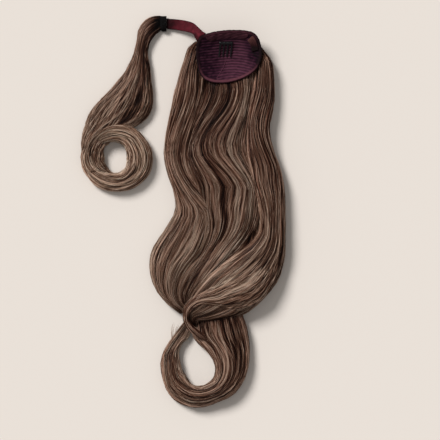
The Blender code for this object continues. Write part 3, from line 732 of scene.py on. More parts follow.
def mixed(tree, kind, factor, first, second):
    node = tree.nodes.new("ShaderNodeMix")
    node.data_type = "RGBA"
    node.blend_type = kind
    if isinstance(factor, float):
        node.inputs["Factor"].default_value = factor
    else:
        tree.links.new(factor, node.inputs["Factor"])
    for value, socket in ((first, node.inputs["A"]), (second, node.inputs["B"])):
        if isinstance(value, tuple):
            socket.default_value = value
        else:
            tree.links.new(value, socket)
    return node.outputs["Result"]


def bump(tree, shader, height, distance, strength):
    node = tree.nodes.new("ShaderNodeBump")
    node.inputs["Strength"].default_value = strength
    node.inputs["Distance"].default_value = distance
    tree.links.new(height, node.inputs["Height"])
    tree.links.new(node.outputs["Normal"], shader.inputs["Normal"])


ROOT_TONES = (
    (0.00, seen(20, 6, 3)),
    (0.25, seen(58, 30, 21)),
    (0.50, seen(100, 66, 52)),
    (0.75, seen(140, 109, 93)),
    (1.00, seen(182, 154, 137)),
)
TIP_TONES = (
    (0.00, seen(40, 21, 14)),
    (0.25, seen(96, 68, 54)),
    (0.50, seen(145, 120, 100)),
    (0.75, seen(178, 155, 135)),
    (1.00, seen(214, 196, 178)),
)


def hair_material(name, shade, roughness, gloss):
    """Brown hair, darker at its root; shade darkens what lies under the strands."""
    made, tree, shader = new_material(name, roughness, gloss)
    tone = attribute(tree, "tone")
    color = mixed(
        tree, "MIX", attribute(tree, "age"), ramp(tree, tone, ROOT_TONES),
        ramp(tree, tone, TIP_TONES),
    )
    tint = mixed(tree, "MIX", attribute(tree, "ash"), (1.13, 0.94, 0.87, 1), (0.96, 1.01, 0.99, 1))
    color = mixed(tree, "MULTIPLY", 1.0, color, tint)
    # random flecks of the hair's own colour, times shade: the painted shade on the body under the
    # strands
    flecks_and_shade = grey_ramp(tree, noise(tree, 900), (0.3, 0.86 * shade), (0.7, shade))
    tree.links.new(mixed(tree, "MULTIPLY", 1.0, color, flecks_and_shade), shader.inputs["Base Color"])
    bump(tree, shader, noise(tree, 2200, 2.0), 0.0001, 0.5)
    return made


def cloth_material(name, dark, light, thread, rib, rib_shade, relief, sheen):
    """Woven cloth. Its pieces give the distance across the ribs, and along them, and a tone, which
    holds painted light and shade as well as the cloth's own colour.
    """
    made, tree, shader = new_material(name, 0.8, 0.10, sheen)
    ribs = waves(tree, attribute(tree, "across"), rib)
    threads = waves(tree, attribute(tree, "along"), thread)
    # the tone with the painted light and shade that it holds, plus random patches of the cloth's
    # own colour
    shade_and_patches = maths(tree, "ADD", attribute(tree, "tone"),
                    maths(tree, "MULTIPLY_ADD", noise(tree, 160), 0.7, -0.35))
    dark = seen(*dark)
    # the colour of the deepest painted shade: the dark colour at 0.3 of its value
    deep = tuple(0.3 * value for value in dark[:3]) + (1.0,)
    color = ramp(tree, shade_and_patches, ((0.0, deep), (0.3, dark), (1.0, seen(*light))))
    weave = maths(tree, "MULTIPLY_ADD", threads, 0.3, maths(tree, "MULTIPLY", ribs, 0.7))
    # painted shade between the ribs, and a painted highlight on their crests
    shades = grey_ramp(tree, weave, (0.05, rib_shade), (0.55, 1.0), (1.0, 1.12))
    color = mixed(tree, "MULTIPLY", 1.0, color, shades)
    fibres = grey_ramp(tree, noise(tree, 3200, 2.0), (0.3, 0.82), (0.7, 1.1))
    color = mixed(tree, "MULTIPLY", 1.0, color, fibres)
    tree.links.new(color, shader.inputs["Base Color"])
    wear = maths(tree, "MULTIPLY_ADD", noise(tree, 420), 0.25, 0.62)
    tree.links.new(wear, shader.inputs["Roughness"])
    bump(tree, shader, weave, relief, 0.8)
    return made


def plastic_material():
    made, tree, shader = new_material("comb_plastic", 0.3, 0.35)
    color = mixed(tree, "MIX", noise(tree, 500), seen(5, 3, 5), seen(16, 12, 15))
    tree.links.new(color, shader.inputs["Base Color"])
    rough = maths(tree, "MULTIPLY_ADD", noise(tree, 900), 0.25, 0.18)
    tree.links.new(rough, shader.inputs["Roughness"])
    bump(tree, shader, noise(tree, 1500), 0.0001, 0.3)
    return made


# Hair pieces

# How a body of hair is grown: its fine strands, their steps and radius in metres, and the
# columns and rows of the ridged body under them
Growth = namedtuple("Growth", "strands steps radius columns rows")
# The strands' own wave inside their layer: its reach, its first crest to the right, its pitch
# and where it ends, all as shares of the layer's width and length
Sway = namedtuple("Sway", "reach crest pitch end")
STILL = Sway(0, 0, 1, 1)
# Locks are pairs of count and depth in metres, coarse to fine. Ages are pairs of place along
# the layer and how far that is from the hair's root to its tip.
Body = namedtuple("Body", "name seed node kind table locks ages growth roundness sway")
BODIES = (
    Body("left_fall", 11, "main_hair", "fall", LEFT_FALL,
         ((8, 0.0015), (24, 0.0011), (60, 0.0006), (110, 0.0001)),
         ((0, 0.0), (0.35, 0.15), (0.55, 0.25), (0.8, 0.45), (1, 0.3)),
         Growth(540, 29, 0.00031, 150, 80), 2.6, Sway(0.05, 0.20, 0.35, 0.45)),
    Body("middle_fall", 12, "main_hair", "fall", MIDDLE_FALL,
         ((8, 0.0014), (25, 0.0011), (64, 0.0006), (120, 0.0001)),
         ((0, 0.0), (0.4, 0.12), (0.7, 0.30), (1, 0.35)),
         Growth(560, 27, 0.00031, 150, 76), 2.6, Sway(0.085, 0.20, 0.35, 0.52)),
    Body("right_fall", 13, "main_hair", "fall", RIGHT_FALL,
         ((6, 0.0014), (18, 0.0011), (48, 0.0006), (90, 0.0001)),
         ((0, 0.05), (0.35, 0.15), (0.6, 0.35), (0.8, 0.62), (1, 0.45)),
         Growth(500, 36, 0.00031, 140, 100), 2.6, Sway(0.08, 0.155, 0.25, 0.38)),
    Body("loop", 14, "main_hair", "fall", LOOP,
         ((5, 0.0013), (15, 0.0010), (40, 0.0006), (80, 0.0001)),
         ((0, 0.15), (0.3, 0.22), (0.55, 0.38), (0.8, 0.45), (1, 0.65)),
         Growth(430, 34, 0.00031, 120, 96), 4, STILL),
    Body("twist", 18, "main_hair", "fall", TWIST,
         ((4, 0.0011), (12, 0.0010), (30, 0.0005), (60, 0.0001)),
         ((0, 0.45), (0.25, 0.60), (0.5, 0.55), (0.66, 0.30), (1, 0.12)),
         Growth(340, 34, 0.00031, 90, 90), 2.6, STILL),
    Body("wrap_lock", 15, "wrap_lock_hair", "lock", WRAP_LOCK,
         ((4, 0.0012), (13, 0.0009), (34, 0.0005), (70, 0.0001)),
         ((0, 0.0), (0.4, 0.2), (0.8, 0.55), (1, 0.7)),
         Growth(330, 27, 0.00030, 110, 76), 4, STILL),
    Body("ring_outer", 16, "wrap_lock_hair", "ring", OUTER_TURN,
         ((4, 0.0012), (13, 0.0009), (34, 0.0005), (70, 0.0001)),
         ((0, 0.65), (0.5, 0.8), (1, 1.0)),
         Growth(350, 37, 0.00030, 110, 100), 4, STILL),
    Body("ring_inner", 17, "wrap_lock_hair", "ring", INNER_TURN,
         ((3, 0.0010), (9, 0.0008), (24, 0.0005), (50, 0.0001)),
         ((0, 0.6), (1, 0.8)),
         Growth(160, 24, 0.00030, 80, 60), 4, STILL),
)
HAIR_SLOTS = {"main_hair": "hair", "wrap_lock_hair": "lock_hair"}
# The share of strands that stray, how much further they wander, and each strand's own tone
STRAY_SHARE = 0.08
STRAY_REACH = 3.0
OWN_TONE = 0.34
LOOSE_STEPS = 26


def shell(layer, look):
    """The ridged body under the strands."""
    along = np.linspace(0, 1, layer.growth.rows)[:, None]
    over = np.linspace(0, 1, layer.growth.columns)
    right = 1 + np.linspace(0.04, UNDER_REACH, 5)
    left = np.linspace(-UNDER_REACH, -0.04, 5)
    around = np.concatenate([over, right, left])
    points, _, tones = layer.surface(along, around, -0.0002)
    points = tuck_under_cap(above_floor(points, 0.0004), 0.0006)
    mesh = closed_loft(
        f"{layer.name}_locks", points, age=layer.age(along), tone=np.clip(tones, 0, 1),
        ash=layer.ash(along, around),
    )
    add_piece(mesh, look, HAIR_SLOTS[layer.node], layer.node)


def strands(layer, look):
    """Fine strands that follow the locks, with a few that stray over them."""
    random = layer.random
    count, steps, radius = layer.growth[:3]
    spread = (np.arange(count) + random.uniform(0, 1, count)) / count
    spread = -0.10 + 1.20 * spread
    start = np.where(random.uniform(0, 1, count) < 0.25, random.uniform(0, 0.35, count), 0)
    end = np.where(random.uniform(0, 1, count) < 0.25, random.uniform(0.7, 1.0, count), 1)
    share = np.linspace(0, 1, steps)
    along = start[:, None] + (end - start)[:, None] * share
    phase = random.uniform(0, 2 * math.pi, (count, 3, 1))
    stray = np.where(random.uniform(0, 1, count) < STRAY_SHARE, STRAY_REACH, 1.0)[:, None]
    wiggle = 0.0035 * np.sin(2 * math.pi * 1.3 * along + phase[:, 0])
    wiggle += 0.0020 * np.sin(2 * math.pi * 3.1 * along + phase[:, 1])
    around = layer.gathered(along, spread[:, None] + stray * wiggle, 0.7)
    lift = random.uniform(-0.0001, 0.0007, count)[:, None]
    lift = lift + 0.0003 * stray * np.sin(2 * math.pi * 2.2 * along + phase[:, 2])
    paths, normals, tones = layer.surface(along, around, lift)
    taper = np.clip(np.minimum(share * 12, (1 - share) * 6), 0.08, 1)
    radii = radius * random.uniform(0.6, 1.25, count)[:, None] * taper
    slack = random.uniform(0.0002, 0.0022, count)[:, None]
    paths = tuck_under_cap(above_floor(paths, HAIR_FLOOR), slack)
    own = random.uniform(-1, 1, count)
    own += np.where(random.uniform(0, 1, count) < 0.12, 0.9, 0)
    tones = np.clip(tones - 0.06 + OWN_TONE * own[:, None], 0, 1)
    mesh = strand_mesh(
        f"{layer.name}_strands", paths, normals, radii, age=layer.age(along), tone=tones,
        ash=layer.ash(along, around),
    )
    add_piece(mesh, look, HAIR_SLOTS[layer.node], layer.node)


def loose_hairs(layer, look):
    """A few fine hairs that stand off the locks, most of them near the edges."""
    random = layer.random
    count = max(layer.growth.strands // 12, 12)
    side = random.uniform(0, 1, count)
    spread = np.where(side < 0.4, random.uniform(-0.04, 0.10, count),
                      random.uniform(0.90, 1.04, count))
    spread = np.where(side > 0.75, random.uniform(0.1, 0.9, count), spread)
    start = random.uniform(0.02, 0.6, count)
    end = np.minimum(start + random.uniform(0.25, 0.5, count), 1)
    share = np.linspace(0, 1, LOOSE_STEPS)[None, :]
    along = start[:, None] + (end - start)[:, None] * share
    slant = random.uniform(-0.05, 0.05, count)[:, None] * share
    around = spread[:, None] + slant + 0.006 * np.sin(9 * share + 6 * side[:, None])
    lift = random.uniform(0.0006, 0.0020, count)[:, None] * np.sin(math.pi * share) ** 0.7
    paths, normals, tones = layer.surface(along, around, lift)
    paths = tuck_under_cap(above_floor(paths, 0.0005), 0.0004)
    radii = random.uniform(0.00012, 0.00022, count)[:, None] * (1 - 0.7 * share)
    mesh = strand_mesh(
        f"{layer.name}_loose_hairs", paths, normals, radii, age=layer.age(along) + 0.25,
        tone=np.clip(tones + 0.22, 0.3, 1), ash=layer.ash(along, around),
    )
    add_piece(mesh, look, HAIR_SLOTS[layer.node], layer.node)


# Wisps: points in metres, how many hairs, how far they spread, and the node they belong to
WISPS = (
    (((-0.0125, -0.172, 0.006), (-0.0135, -0.16, 0.008), (-0.0135, -0.15, 0.009),
      (-0.012, -0.141, 0.008)), 9, 0.0014, "main_hair"),
    (((-0.008, -0.16, 0.007), (-0.0098, -0.15, 0.009), (-0.007, -0.142, 0.008)),
     5, 0.0012, "main_hair"),
    (((-0.08, 0.1035, 0.018), (-0.07, 0.106, 0.017), (-0.062, 0.1085, 0.014),
      (-0.056, 0.113, 0.011)), 10, 0.0018, "wrap_lock_hair"),
    (((-0.118, 0.05, 0.016), (-0.1119, 0.054, 0.018), (-0.107, 0.058, 0.018),
      (-0.1, 0.0602, 0.017)), 6, 0.0007, "wrap_lock_hair"),
    (((-0.025, -0.09, 0.01), (-0.013, -0.113, 0.01), (0.001, -0.129, 0.011)),
     6, 0.0016, "main_hair"),
)
WISP_STEPS = 24


def wisps(look):
    """Small groups of hairs that leave their lock."""
    random = np.random.default_rng(31)
    share = np.linspace(0, 1, WISP_STEPS)
    for index, (corners, hairs, spread, node) in enumerate(WISPS):
        line = spline_rows(np.array(corners), share)
        apart = random.normal(0, 1, (hairs, 1, 3)) * np.array([1, 1, 0.3]) * spread
        curl = random.normal(0, 1, (hairs, 1, 3)) * np.array([1, 1, 0.2]) * spread
        paths = line[None] + apart * (0.4 + 0.6 * share[None, :, None])
        paths = above_floor(paths + curl * share[None, :, None] ** 2, HAIR_FLOOR)
        tone = random.uniform(0.35, 0.9, hairs)[:, None]
        mesh = strand_mesh(f"wisp_{index + 1}", paths, UP, 0.00022 * (1 - 0.75 * share),
                           age=0.7, tone=tone, ash=0.5)
        add_piece(mesh, look, HAIR_SLOTS[node], node)


def make_hair(black):
    # the body under the strands is painted at half brightness, as painted shade under the strands
    under = hair_material("hair_underlayer", 0.50, 0.6, 0.05)
    over = hair_material("hair_strands", 1.0, 0.42, 0.12)
    for body in BODIES:
        layer = Layer(body)
        if body.name == "wrap_lock":
            tuft_piece(black, layer)
        shell(layer, under)
        strands(layer, over)
        loose_hairs(layer, over)
    wisps(over)


# The cap

WEFT_PITCH = 0.0034
WEFT_RELIEF = 0.00055
STITCH_PITCH = 0.0017
LEVEL_SLANT = 0.12
ARC_RADIUS = 0.0784
ARC_MIDDLE = CROWN[:2] + np.array([0.0058, -ARC_RADIUS])
STREAK_GRID = (60, 40)
CAP_SIDES = 220
TAPE_STEPS = 300
TAPE_SIDES = 14
COMB_SIDES = 12
TOOTH_LEAN = 0.12
SEAM_RADIUS = 0.00055
SEAM_BLEND = 0.0006
# The slanted seam, in shares of the cap's half width and half length
SEAM = ((-0.40, -0.92), (-0.30, -0.70), (-0.18, -0.42), (-0.10, -0.10))


def seam_places():
    """The slanted seam's points in plan."""
    shares = spline_rows(np.array(SEAM), np.linspace(0, 1, 40))
    return CROWN[:2] + shares * np.array([CAP_WIDTH, CAP_LENGTH]) / 2


def weft_places(points):
    """Distance across the wefts and along them: level left of the seam, arcs right of it."""
    seam = seam_places()
    seam_x = np.interp(points[..., 1], seam[:, 1], seam[:, 0])
    right = smooth_step(points[..., 0] - seam_x, -SEAM_BLEND, SEAM_BLEND)
    x, y = from_crown(points)
    offset = points[..., :2] - ARC_MIDDLE
    arc_across = np.linalg.norm(offset, axis=-1) - ARC_RADIUS
    arc_along = np.arctan2(offset[..., 0], offset[..., 1]) * 0.07
    level_across = y - LEVEL_SLANT * x
    across = level_across + right * (arc_across - level_across)
    return across, x + right * (arc_along - x), right


def cap_tone(across, along, right, rings):
    """Light and shade over the cap's cloth, with a streak of its own for each place."""
    x, y = from_crown(rings)
    tone = 0.42 + 0.38 * smooth_step(x, -0.022, 0.000)
    tone -= 0.70 * smooth_step(x, 0.015, 0.033) * smooth_step(y, -0.020, 0.002)
    tone += 0.04 * right * smooth_step(y, 0.0, -0.016)
    tone += 0.30 * patch(x + 0.0035, y - 0.0095, 0.010, 0.010)
    rows, columns = STREAK_GRID
    streaks = np.random.default_rng(5).uniform(-1, 1, STREAK_GRID)
    row = np.clip(np.round(across / WEFT_PITCH * 2).astype(int) + 25, 0, rows - 1)
    place = np.clip((along + 0.05) / 0.10 * (columns - 1), 0, columns - 1.001)
    left = place.astype(int)
    share = place - left
    return tone + 0.22 * (streaks[row, left] * (1 - share) + streaks[row, left + 1] * share)


def cap_piece(look):
    """The cap's bowl: wefts in rows on its inner face, and smooth cloth under it."""
    turns = np.linspace(0, 360, CAP_SIDES, endpoint=False)
    over = np.linspace(0.012, 1.0, 66)[:, None]
    inner = bowl_points(turns, over)
    across, along, _ = weft_places(inner)
    crest = 0.5 + 0.5 * np.sin(2 * math.pi * across / WEFT_PITCH)
    stitch = 0.5 + 0.5 * np.sin(2 * math.pi * along / STITCH_PITCH)
    fade = np.clip((1 - over) / 0.06, 0, 1)
    inner[..., 2] += fade * (WEFT_RELIEF * (crest ** 0.7 - 1) + 0.00016 * crest * stitch)
    slow = np.sin(9 * np.radians(turns)) * 0.0003 + 0.0002
    inner[..., 2] += slow * smooth_step(over, 0.5, 0.9) * fade
    wall = rim_points(turns, 0.0009, np.array([[-0.0002], [-0.0016]]))
    outer = np.linspace(0.985, 0.02, 12)[:, None]
    under = bowl_points(turns, outer)
    under[..., 2] -= CAP_WALL * np.hypot(1, RIM_STEEPNESS * outer ** 1.2)
    rings = np.concatenate([inner, wall, under])
    across, along, right = weft_places(rings)
    mesh = closed_loft("cap_wefts", rings, across=across, along=along,
                       tone=cap_tone(across, along, right, rings))
    add_piece(mesh, look, "cap_fabric", "cap_base")


def binding_piece(look):
    """Tape folded round the cap's edge."""
    turns = np.linspace(0, 360, TAPE_STEPS, endpoint=False)[:, None]
    angle = all_round(TAPE_SIDES)[None, :]
    pucker = 1 + 0.05 * np.sin(np.radians(turns) * 41) + 0.04 * np.sin(np.radians(turns) * 67)
    away = 0.00165 + 0.00205 * np.cos(angle) * pucker
    up = 0.0001 + PIPING_DIAMETER / 2 * np.sin(angle) * pucker - 0.0004 * (np.cos(angle) < 0)
    points = rim_points(turns, away, up)
    quads, triangles = tube_faces(1, TAPE_STEPS, TAPE_SIDES, closed=True)
    run = np.linalg.norm(np.diff(points[:, 0], axis=0, append=points[:1, 0]), axis=-1)
    x, y = from_crown(points)
    # The tone paints light and shade: painted light along the bottom, lighter along the top,
    # painted shade at the left, at the right and on the tape's outer side, and a painted highlight
    # along its crest low down
    tone = 0.35 + 0.40 * smooth_step(y, -0.006, -0.024) + 0.20 * smooth_step(y, 0.018, 0.026)
    tone -= 0.30 * smooth_step(x, -0.022, -0.036)
    tone -= 0.35 * smooth_step(x, 0.024, 0.036) * smooth_step(y, -0.018, -0.004)
    tone += 0.30 * np.exp(-((angle - 1.75) / 0.5) ** 2) * smooth_step(y, 0.0, -0.016)
    tone -= 0.40 * (np.cos(angle) > 0.45)
    mesh = build_mesh("cap_edge", points, quads, triangles, across=angle * 0.0016,
                      along=np.cumsum(run)[:, None], tone=tone)
    add_piece(mesh, look, "binding", "cap_binding")


def ribbon_piece(name, look, slot, node, turns, shares, thickness, tone, slope, folds):
    """A soft strip on the bowl's wall, with round edges and slight folds."""
    steps = 90
    turn = np.linspace(turns[0], turns[1], steps)[:, None]
    wide, tall = squared_circle(all_round(40)[None, :], 0.45, 0.6)
    middle = (shares[0] + shares[1]) / 2
    half = (shares[1] - shares[0]) / 2
    end = np.minimum(np.arange(steps), np.arange(steps)[::-1])[:, None]
    rounding = np.clip(0.55 + end / 5, 0, 1)
    rings = bowl_points(turn, middle + half * wide * rounding)
    wave = np.sin(np.radians(turn) * folds + 6 * wide) * 0.00025
    rings[..., 2] += (
        2 * GAP + thickness / 2 * (1 + tall) * rounding + np.where(tall > 0, wave, 0)
    )
    # The tone is lighter towards the rim edge and changes along the strip by slope; on the tab
    # that change is painted shade, darkest where the strip starts
    mesh = closed_loft(
        name, rings, across=wide * half * CAP_LENGTH / 2, along=np.radians(turn) * CAP_WIDTH / 2,
        tone=tone + 0.10 * wide + slope * (turn - turns[0]) / (turns[1] - turns[0]),
    )
    add_piece(mesh, look, slot, node)


def seam_piece(look):
    """The slanted seam, a fine cord of thread over the wefts."""
    flat = seam_places()
    path = np.column_stack([flat, bowl_height(rim_share(flat)) + 0.0001])[None]
    run = np.linspace(0, 0.022, path.shape[1])
    mesh = strand_mesh("cap_seam", path, UP, SEAM_RADIUS, 8, across=0.0, along=run, tone=0.95)
    add_piece(mesh, look, "cap_fabric")


def comb_piece(look):
    """The bar and its teeth, each rounded, following the bowl."""
    middle_x = CROWN[0] + COMB_ACROSS * CAP_WIDTH / 2
    top_y = CROWN[1] + COMB_ALONG * CAP_LENGTH / 2 + COMB_LENGTH / 2
    pitch = (COMB_WIDTH - TOOTH_WIDTH) / (TOOTH_COUNT - 1)
    down = np.linspace(0.0008, COMB_LENGTH, 28)
    slim = np.clip(1.25 - (down / COMB_LENGTH) ** 3 * 0.75, 0, 1)
    slim[-1] = 0.12
    slim[-2] *= 0.75
    parts = []
    for tooth in range(TOOTH_COUNT):
        x = middle_x - COMB_WIDTH / 2 + TOOTH_WIDTH / 2 + tooth * pitch
        line = np.column_stack([x + 0.0006 - TOOTH_LEAN * (down - 0.002), top_y - down])
        parts.append((line, TOOTH_WIDTH / 2 * slim, COMB_THICKNESS / 2 * np.clip(slim, 0.3, 1)))
    over = np.linspace(-COMB_WIDTH / 2, COMB_WIDTH / 2, 36)
    thick = np.clip(1 - np.abs(over / (COMB_WIDTH / 2)) ** 14 * 0.6, 0, 1)
    bar = np.column_stack([middle_x + over, np.full_like(over, top_y - COMB_BAR / 2)])
    parts.append((bar, COMB_BAR / 2 * thick, COMB_THICKNESS / 2 * thick))
    points, quads, triangles = [], [], []
    total = 0
    angle = all_round(COMB_SIDES)
    for flat, half_wide, half_thick in parts:
        height = bowl_height(rim_share(flat)) + 2 * GAP + COMB_THICKNESS / 2
        line = np.column_stack([flat, height])
        tangent = unit(np.gradient(line, axis=0))
        across = unit(np.cross(tangent, UP))
        upward = np.cross(across, tangent)
        ring = (
            line[:, None]
            + np.cos(angle)[None, :, None] * across[:, None] * half_wide[:, None, None]
            + np.sin(angle)[None, :, None] * upward[:, None] * half_thick[:, None, None]
        )
        faces, ends = tube_faces(1, len(line), COMB_SIDES)
        points.append(ring.reshape(-1, 3))
        quads.append(faces + total)
        triangles.append(ends + total)
        total += len(points[-1])
    mesh = build_mesh("comb_teeth", *map(np.concatenate, (points, quads, triangles)))
    add_piece(mesh, look, "comb_plastic", "comb")


# The strap and the band round the wrap lock's root

# The strap's route: how far along and how bowed its top edge is, then its bottom edge, and
# its share of the climb from the band to the cap
STRAP_ROUTE = (
    (0, 0, 0, 0, 0), (0.265, 0.08, 0.225, 0.07, 0.06), (0.49, 0.125, 0.47, 0.13, 0.2),
    (0.635, 0.125, 0.68, 0.165, 0.42), (0.76, 0.08, 0.8, 0.155, 0.65),
    (0.9, 0.02, 0.89, 0.085, 0.88), (1, 0, 1, 0, 1),
)
STRAP_TURNS = (128, 145)
STRAP_STEPS = 110
STRAP_SIDES = 44
# The strap's fold: its place along and across as shares, its slant and its width
FOLD_PLACE = 0.78
FOLD_ACROSS = 0.62
FOLD_SLANT = 0.9
FOLD_WIDTH = 0.07

# The thread and the tuft round the root; the core's rings as shares of the band's half sizes
THREAD_TURNS = 11
THREAD_RADIUS = 0.00052
BAND_POWER = 0.7
CORE_RINGS = (
    (-1.45, 0.60), (-1.3, 0.72), (-0.9, 0.82), (-0.5, 0.86), (0, 0.82), (0.5, 0.86),
    (0.9, 0.82), (0.99, 0.70),
)
TUFT_HAIRS = 150
TUFT_STEPS = 7


def strap_edges(route):
    """Both long edges of the strap, and how far its end bulges round the cap's corner."""
    away = PIPING_DIAMETER + 2 * GAP + CAP_WALL / 2
    start_x = BAND_HIGH[0] + 0.0003
    start_z = BAND_MIDDLE[2]
    ends = [rim_points(turn, away, 0.0) for turn in STRAP_TURNS]
    edges = []
    for side, end, along, bow in zip((1, -1), ends, route.T[0:3:2], route.T[1:4:2]):
        start = np.array([start_x, ROOT_Y + side * STRAP_WIDTH / 2, start_z])
        line = end - start
        square = np.array([-line[1], line[0], 0.0])
        edge = start + along[:, None] * line + bow[:, None] * square
        edge[:, 2] = start_z + route[:, 4] * (end[2] - start_z)
        edges.append(edge)
    return *edges, rim_points(sum(STRAP_TURNS) / 2, away, 0.0) - (ends[0] + ends[1]) / 2


def strap_piece(look):
    """The woven ribbon, folded where it turns down to the cap's corner."""
    share = np.linspace(0, 1, STRAP_STEPS)[:, None]
    route = spline_rows(np.array(STRAP_ROUTE, float), share[:, 0])
    top, bottom, bulge = strap_edges(route)
    wide, tall = squared_circle(all_round(STRAP_SIDES), 0.35, 0.6)
    over = (1 - wide) / 2
    middle = top[:, None] + over[None, :, None] * (bottom - top)[:, None]
    swell = 4 * over * (1 - over)
    middle = middle + (swell * route[:, 4:5] ** 2)[..., None] * bulge
    run = run_along((top + bottom) / 2)[:, None]
    normal = unit(np.cross((bottom - top)[:, None], np.gradient(middle, axis=0)))
    normal *= np.sign(normal[..., 2:3])
    slant = FOLD_SLANT * (share - FOLD_PLACE)
    fold = np.exp(-((over - FOLD_ACROSS + slant) / FOLD_WIDTH) ** 2)
    fold = fold * smooth_step(share, 0.55, 0.7)
    crown = 0.0004 * (1 - wide ** 2) + 0.0007 * fold
    ripple = 0.00015 * np.sin(run * 900 + 3 * wide)
    rings = middle + normal * (STRAP_THICKNESS / 2 * tall + crown + ripple)[..., None]
    selvedge = smooth_step(np.abs(wide), 0.80, 0.95)
    # Selvedges darker, a painted highlight along the fold, darker towards the band end, and
    # painted shade on the side below the fold
    tone = 0.66 - 0.25 * selvedge + 0.5 * fold - 0.55 * smooth_step(share, 0.26, -0.02)
    fold_shade_side = smooth_step(over + slant, FOLD_ACROSS, FOLD_ACROSS + 0.10)
    tone = tone - 0.35 * smooth_step(share, 0.62, 0.8) * fold_shade_side
    mesh = closed_loft("strap_ribbon", rings, across=run, along=wide * STRAP_WIDTH / 2, tone=tone)
    piece = add_piece(mesh, look, "strap", "wrap_strap")


def thread_piece(look):
    """Black thread wound round the lock's root, over a dark core."""
    random = np.random.default_rng(21)
    angle = np.linspace(0, 2 * math.pi * THREAD_TURNS, THREAD_TURNS * 40)
    drift = np.interp(angle, np.linspace(0, angle[-1], 30), random.uniform(-0.12, 0.12, 30))
    along = np.linspace(-0.86, 0.86, len(angle)) + drift
    full = 0.90 + 0.06 * np.interp(angle, np.linspace(0, angle[-1], 60), random.uniform(-1, 1, 60))
    across, up = squared_circle(angle, BAND_POWER, BAND_POWER)
    path = BAND_MIDDLE + np.column_stack([
        along * BAND_HALF[0], across * full * (BAND_HALF[1] - 0.0005),
        up * full * (BAND_HALF[2] - 0.0006),
    ])
    normals = np.column_stack([0 * angle, np.cos(angle), np.sin(angle)])
    mesh = strand_mesh("root_thread", path[None], normals[None], THREAD_RADIUS, 7, across=0.0,
                       along=0.0045 * angle, tone=0.3 + 0.3 * np.sin(angle * 0.37))
    add_piece(mesh, look, "root_thread", "root_band")
    wide, tall = squared_circle(all_round(40), BAND_POWER, BAND_POWER)
    places, sizes = np.array(CORE_RINGS).T[..., None]
    core = BAND_MIDDLE + np.stack(np.broadcast_arrays(
        places * BAND_HALF[0], sizes * BAND_HALF[1] * wide, sizes * BAND_HALF[2] * tall
    ), -1)
    mesh = closed_loft("root_core", core, across=0.0, along=0.0, tone=0.0)
    add_piece(mesh, look, "root_thread", "root_band")


def tuft_piece(look, layer):
    """Black ends of hair that run from the lock over the band."""
    count = TUFT_HAIRS
    random = np.random.default_rng(24)
    around = (np.arange(count) + random.uniform(0, 1, count)) / count * 1.16 - 0.08
    reach = random.uniform(0.015, 0.075, count) * (0.5 + 0.5 * np.sin(math.pi * around.clip(0, 1)))
    along = reach[:, None] * np.linspace(1, 0, TUFT_STEPS)[None, :]
    lift = random.uniform(0, 0.0008, count)[:, None]
    on_lock, _, _ = layer.surface(along, around[:, None], lift)
    full = random.uniform(0.94, 1.0, count)
    over, up = squared_circle(math.pi * around, 0.8, BAND_POWER)
    on_band = BAND_MIDDLE + np.stack(np.broadcast_arrays(
        BAND_HALF[0] * np.linspace(-0.7, 0.98, TUFT_STEPS), (full * over)[:, None] * BAND_HALF[1],
        (full * up)[:, None] * BAND_HALF[2],
    ), -1)
    paths = above_floor(np.concatenate([on_lock, on_band], 1), HAIR_FLOOR)
    normals = np.stack([0 * up, over, up + 0.05], -1)[:, None]
    radii = 0.00036 * np.linspace(0.3, 1.15, 2 * TUFT_STEPS)
    tone = random.uniform(0.0, 0.5, count)[:, None]
    mesh = strand_mesh("root_tuft", paths, normals, radii, across=0.0, along=paths[..., 0],
                       tone=tone)
    add_piece(mesh, look, "root_thread", "root_band")


# Cloths: dark and light colour as seen, the pitch of threads and of ribs in metres, the shade
# between ribs, the relief in metres, and the sheen
CLOTHS = {
    "cap_wefts": ((37, 5, 25), (84, 44, 60), 0.0012, WEFT_PITCH, 0.28, 0.00025, 0.03),
    "binding_tape": ((40, 11, 20), (98, 54, 64), 0.0011, 0.0016, 0.75, 0.00015, 0.03),
    "tab_ribbon": ((40, 12, 14), (104, 64, 60), 0.0010, 0.0014, 0.75, 0.00015, 0.03),
    "strap_weave": ((44, 2, 8), (106, 30, 42), 0.0011, 0.0013, 0.62, 0.00015, 0.05),
    "root_thread": ((8, 5, 5), (34, 24, 22), 0.0009, 0.0012, 0.6, 0.0001, 0.03),
}


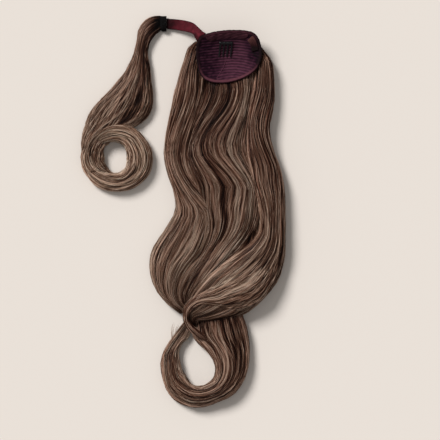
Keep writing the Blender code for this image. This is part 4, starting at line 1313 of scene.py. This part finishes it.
def make_cap():
    """The cap, the comb, the strap and the thread; gives the thread's own look."""
    looks = {name: cloth_material(name, *facts) for name, facts in CLOTHS.items()}
    cap_piece(looks["cap_wefts"])
    binding_piece(looks["binding_tape"])
    seam_piece(looks["cap_wefts"])
    ribbon_piece("band_ribbon", looks["binding_tape"], "binding", "top_band", (56, 132),
                 (0.78, 0.985), 0.0010, 0.55, 0.0, 23)
    # the tab: painted shade darkens it towards its start
    ribbon_piece("tab_ribbon", looks["tab_ribbon"], "tab", "strap_tab", (19, 51),
                 (0.77, 0.985), 0.0020, -0.35, 1.15, 17)
    comb_piece(plastic_material())
    strap_piece(looks["strap_weave"])
    thread_piece(looks["root_thread"])
    return looks["root_thread"]


# Stage

SKY_STRENGTH = 0.30
KEY_STRENGTH = 2.95
KEY_WIDTH = 22
KEY_DIRECTION = (0.66, -0.68, -0.93)
# What the camera frames: its width, and its middle from the cap's, in metres
VIEW_WIDTH = 0.550
VIEW_MIDDLE = (-0.01093, -0.2021)


def make_stage():
    bpy.ops.mesh.primitive_plane_add(size=6, location=(0, 0, 0))
    floor = bpy.context.object
    floor.name = "floor"
    made, _, shader = new_material("floor_paper", 0.95, 0.1)
    shader.inputs["Base Color"].default_value = seen(238, 229, 220)
    floor.data.materials.append(made)
    world = bpy.data.worlds.new("studio")
    bpy.context.scene.world = world
    world.use_nodes = True
    background = world.node_tree.nodes["Background"]
    background.inputs["Color"].default_value = (1, 1, 1, 1)
    background.inputs["Strength"].default_value = SKY_STRENGTH
    key = bpy.data.lights.new("key", "SUN")
    key.energy = KEY_STRENGTH
    key.angle = math.radians(KEY_WIDTH)
    lamp = bpy.data.objects.new("key", key)
    bpy.context.scene.collection.objects.link(lamp)
    lamp.rotation_euler = Vector(KEY_DIRECTION).to_track_quat("-Z", "Y").to_euler()
    bpy.context.scene.view_settings.view_transform = "Standard"


def make_camera():
    """Straight above, framing as much across as the photograph shows."""
    data = bpy.data.cameras.new("camera")
    data.lens = 400
    data.sensor_width = 36
    camera = bpy.data.objects.new("camera", data)
    bpy.context.scene.collection.objects.link(camera)
    middle = Vector((CROWN[0] + VIEW_MIDDLE[0], CROWN[1] + VIEW_MIDDLE[1], 0.0))
    camera.location = middle + Vector((0, 0, VIEW_WIDTH * data.lens / data.sensor_width))
    bpy.context.scene.camera = camera


make_camera()
make_stage()
make_hair(make_cap())
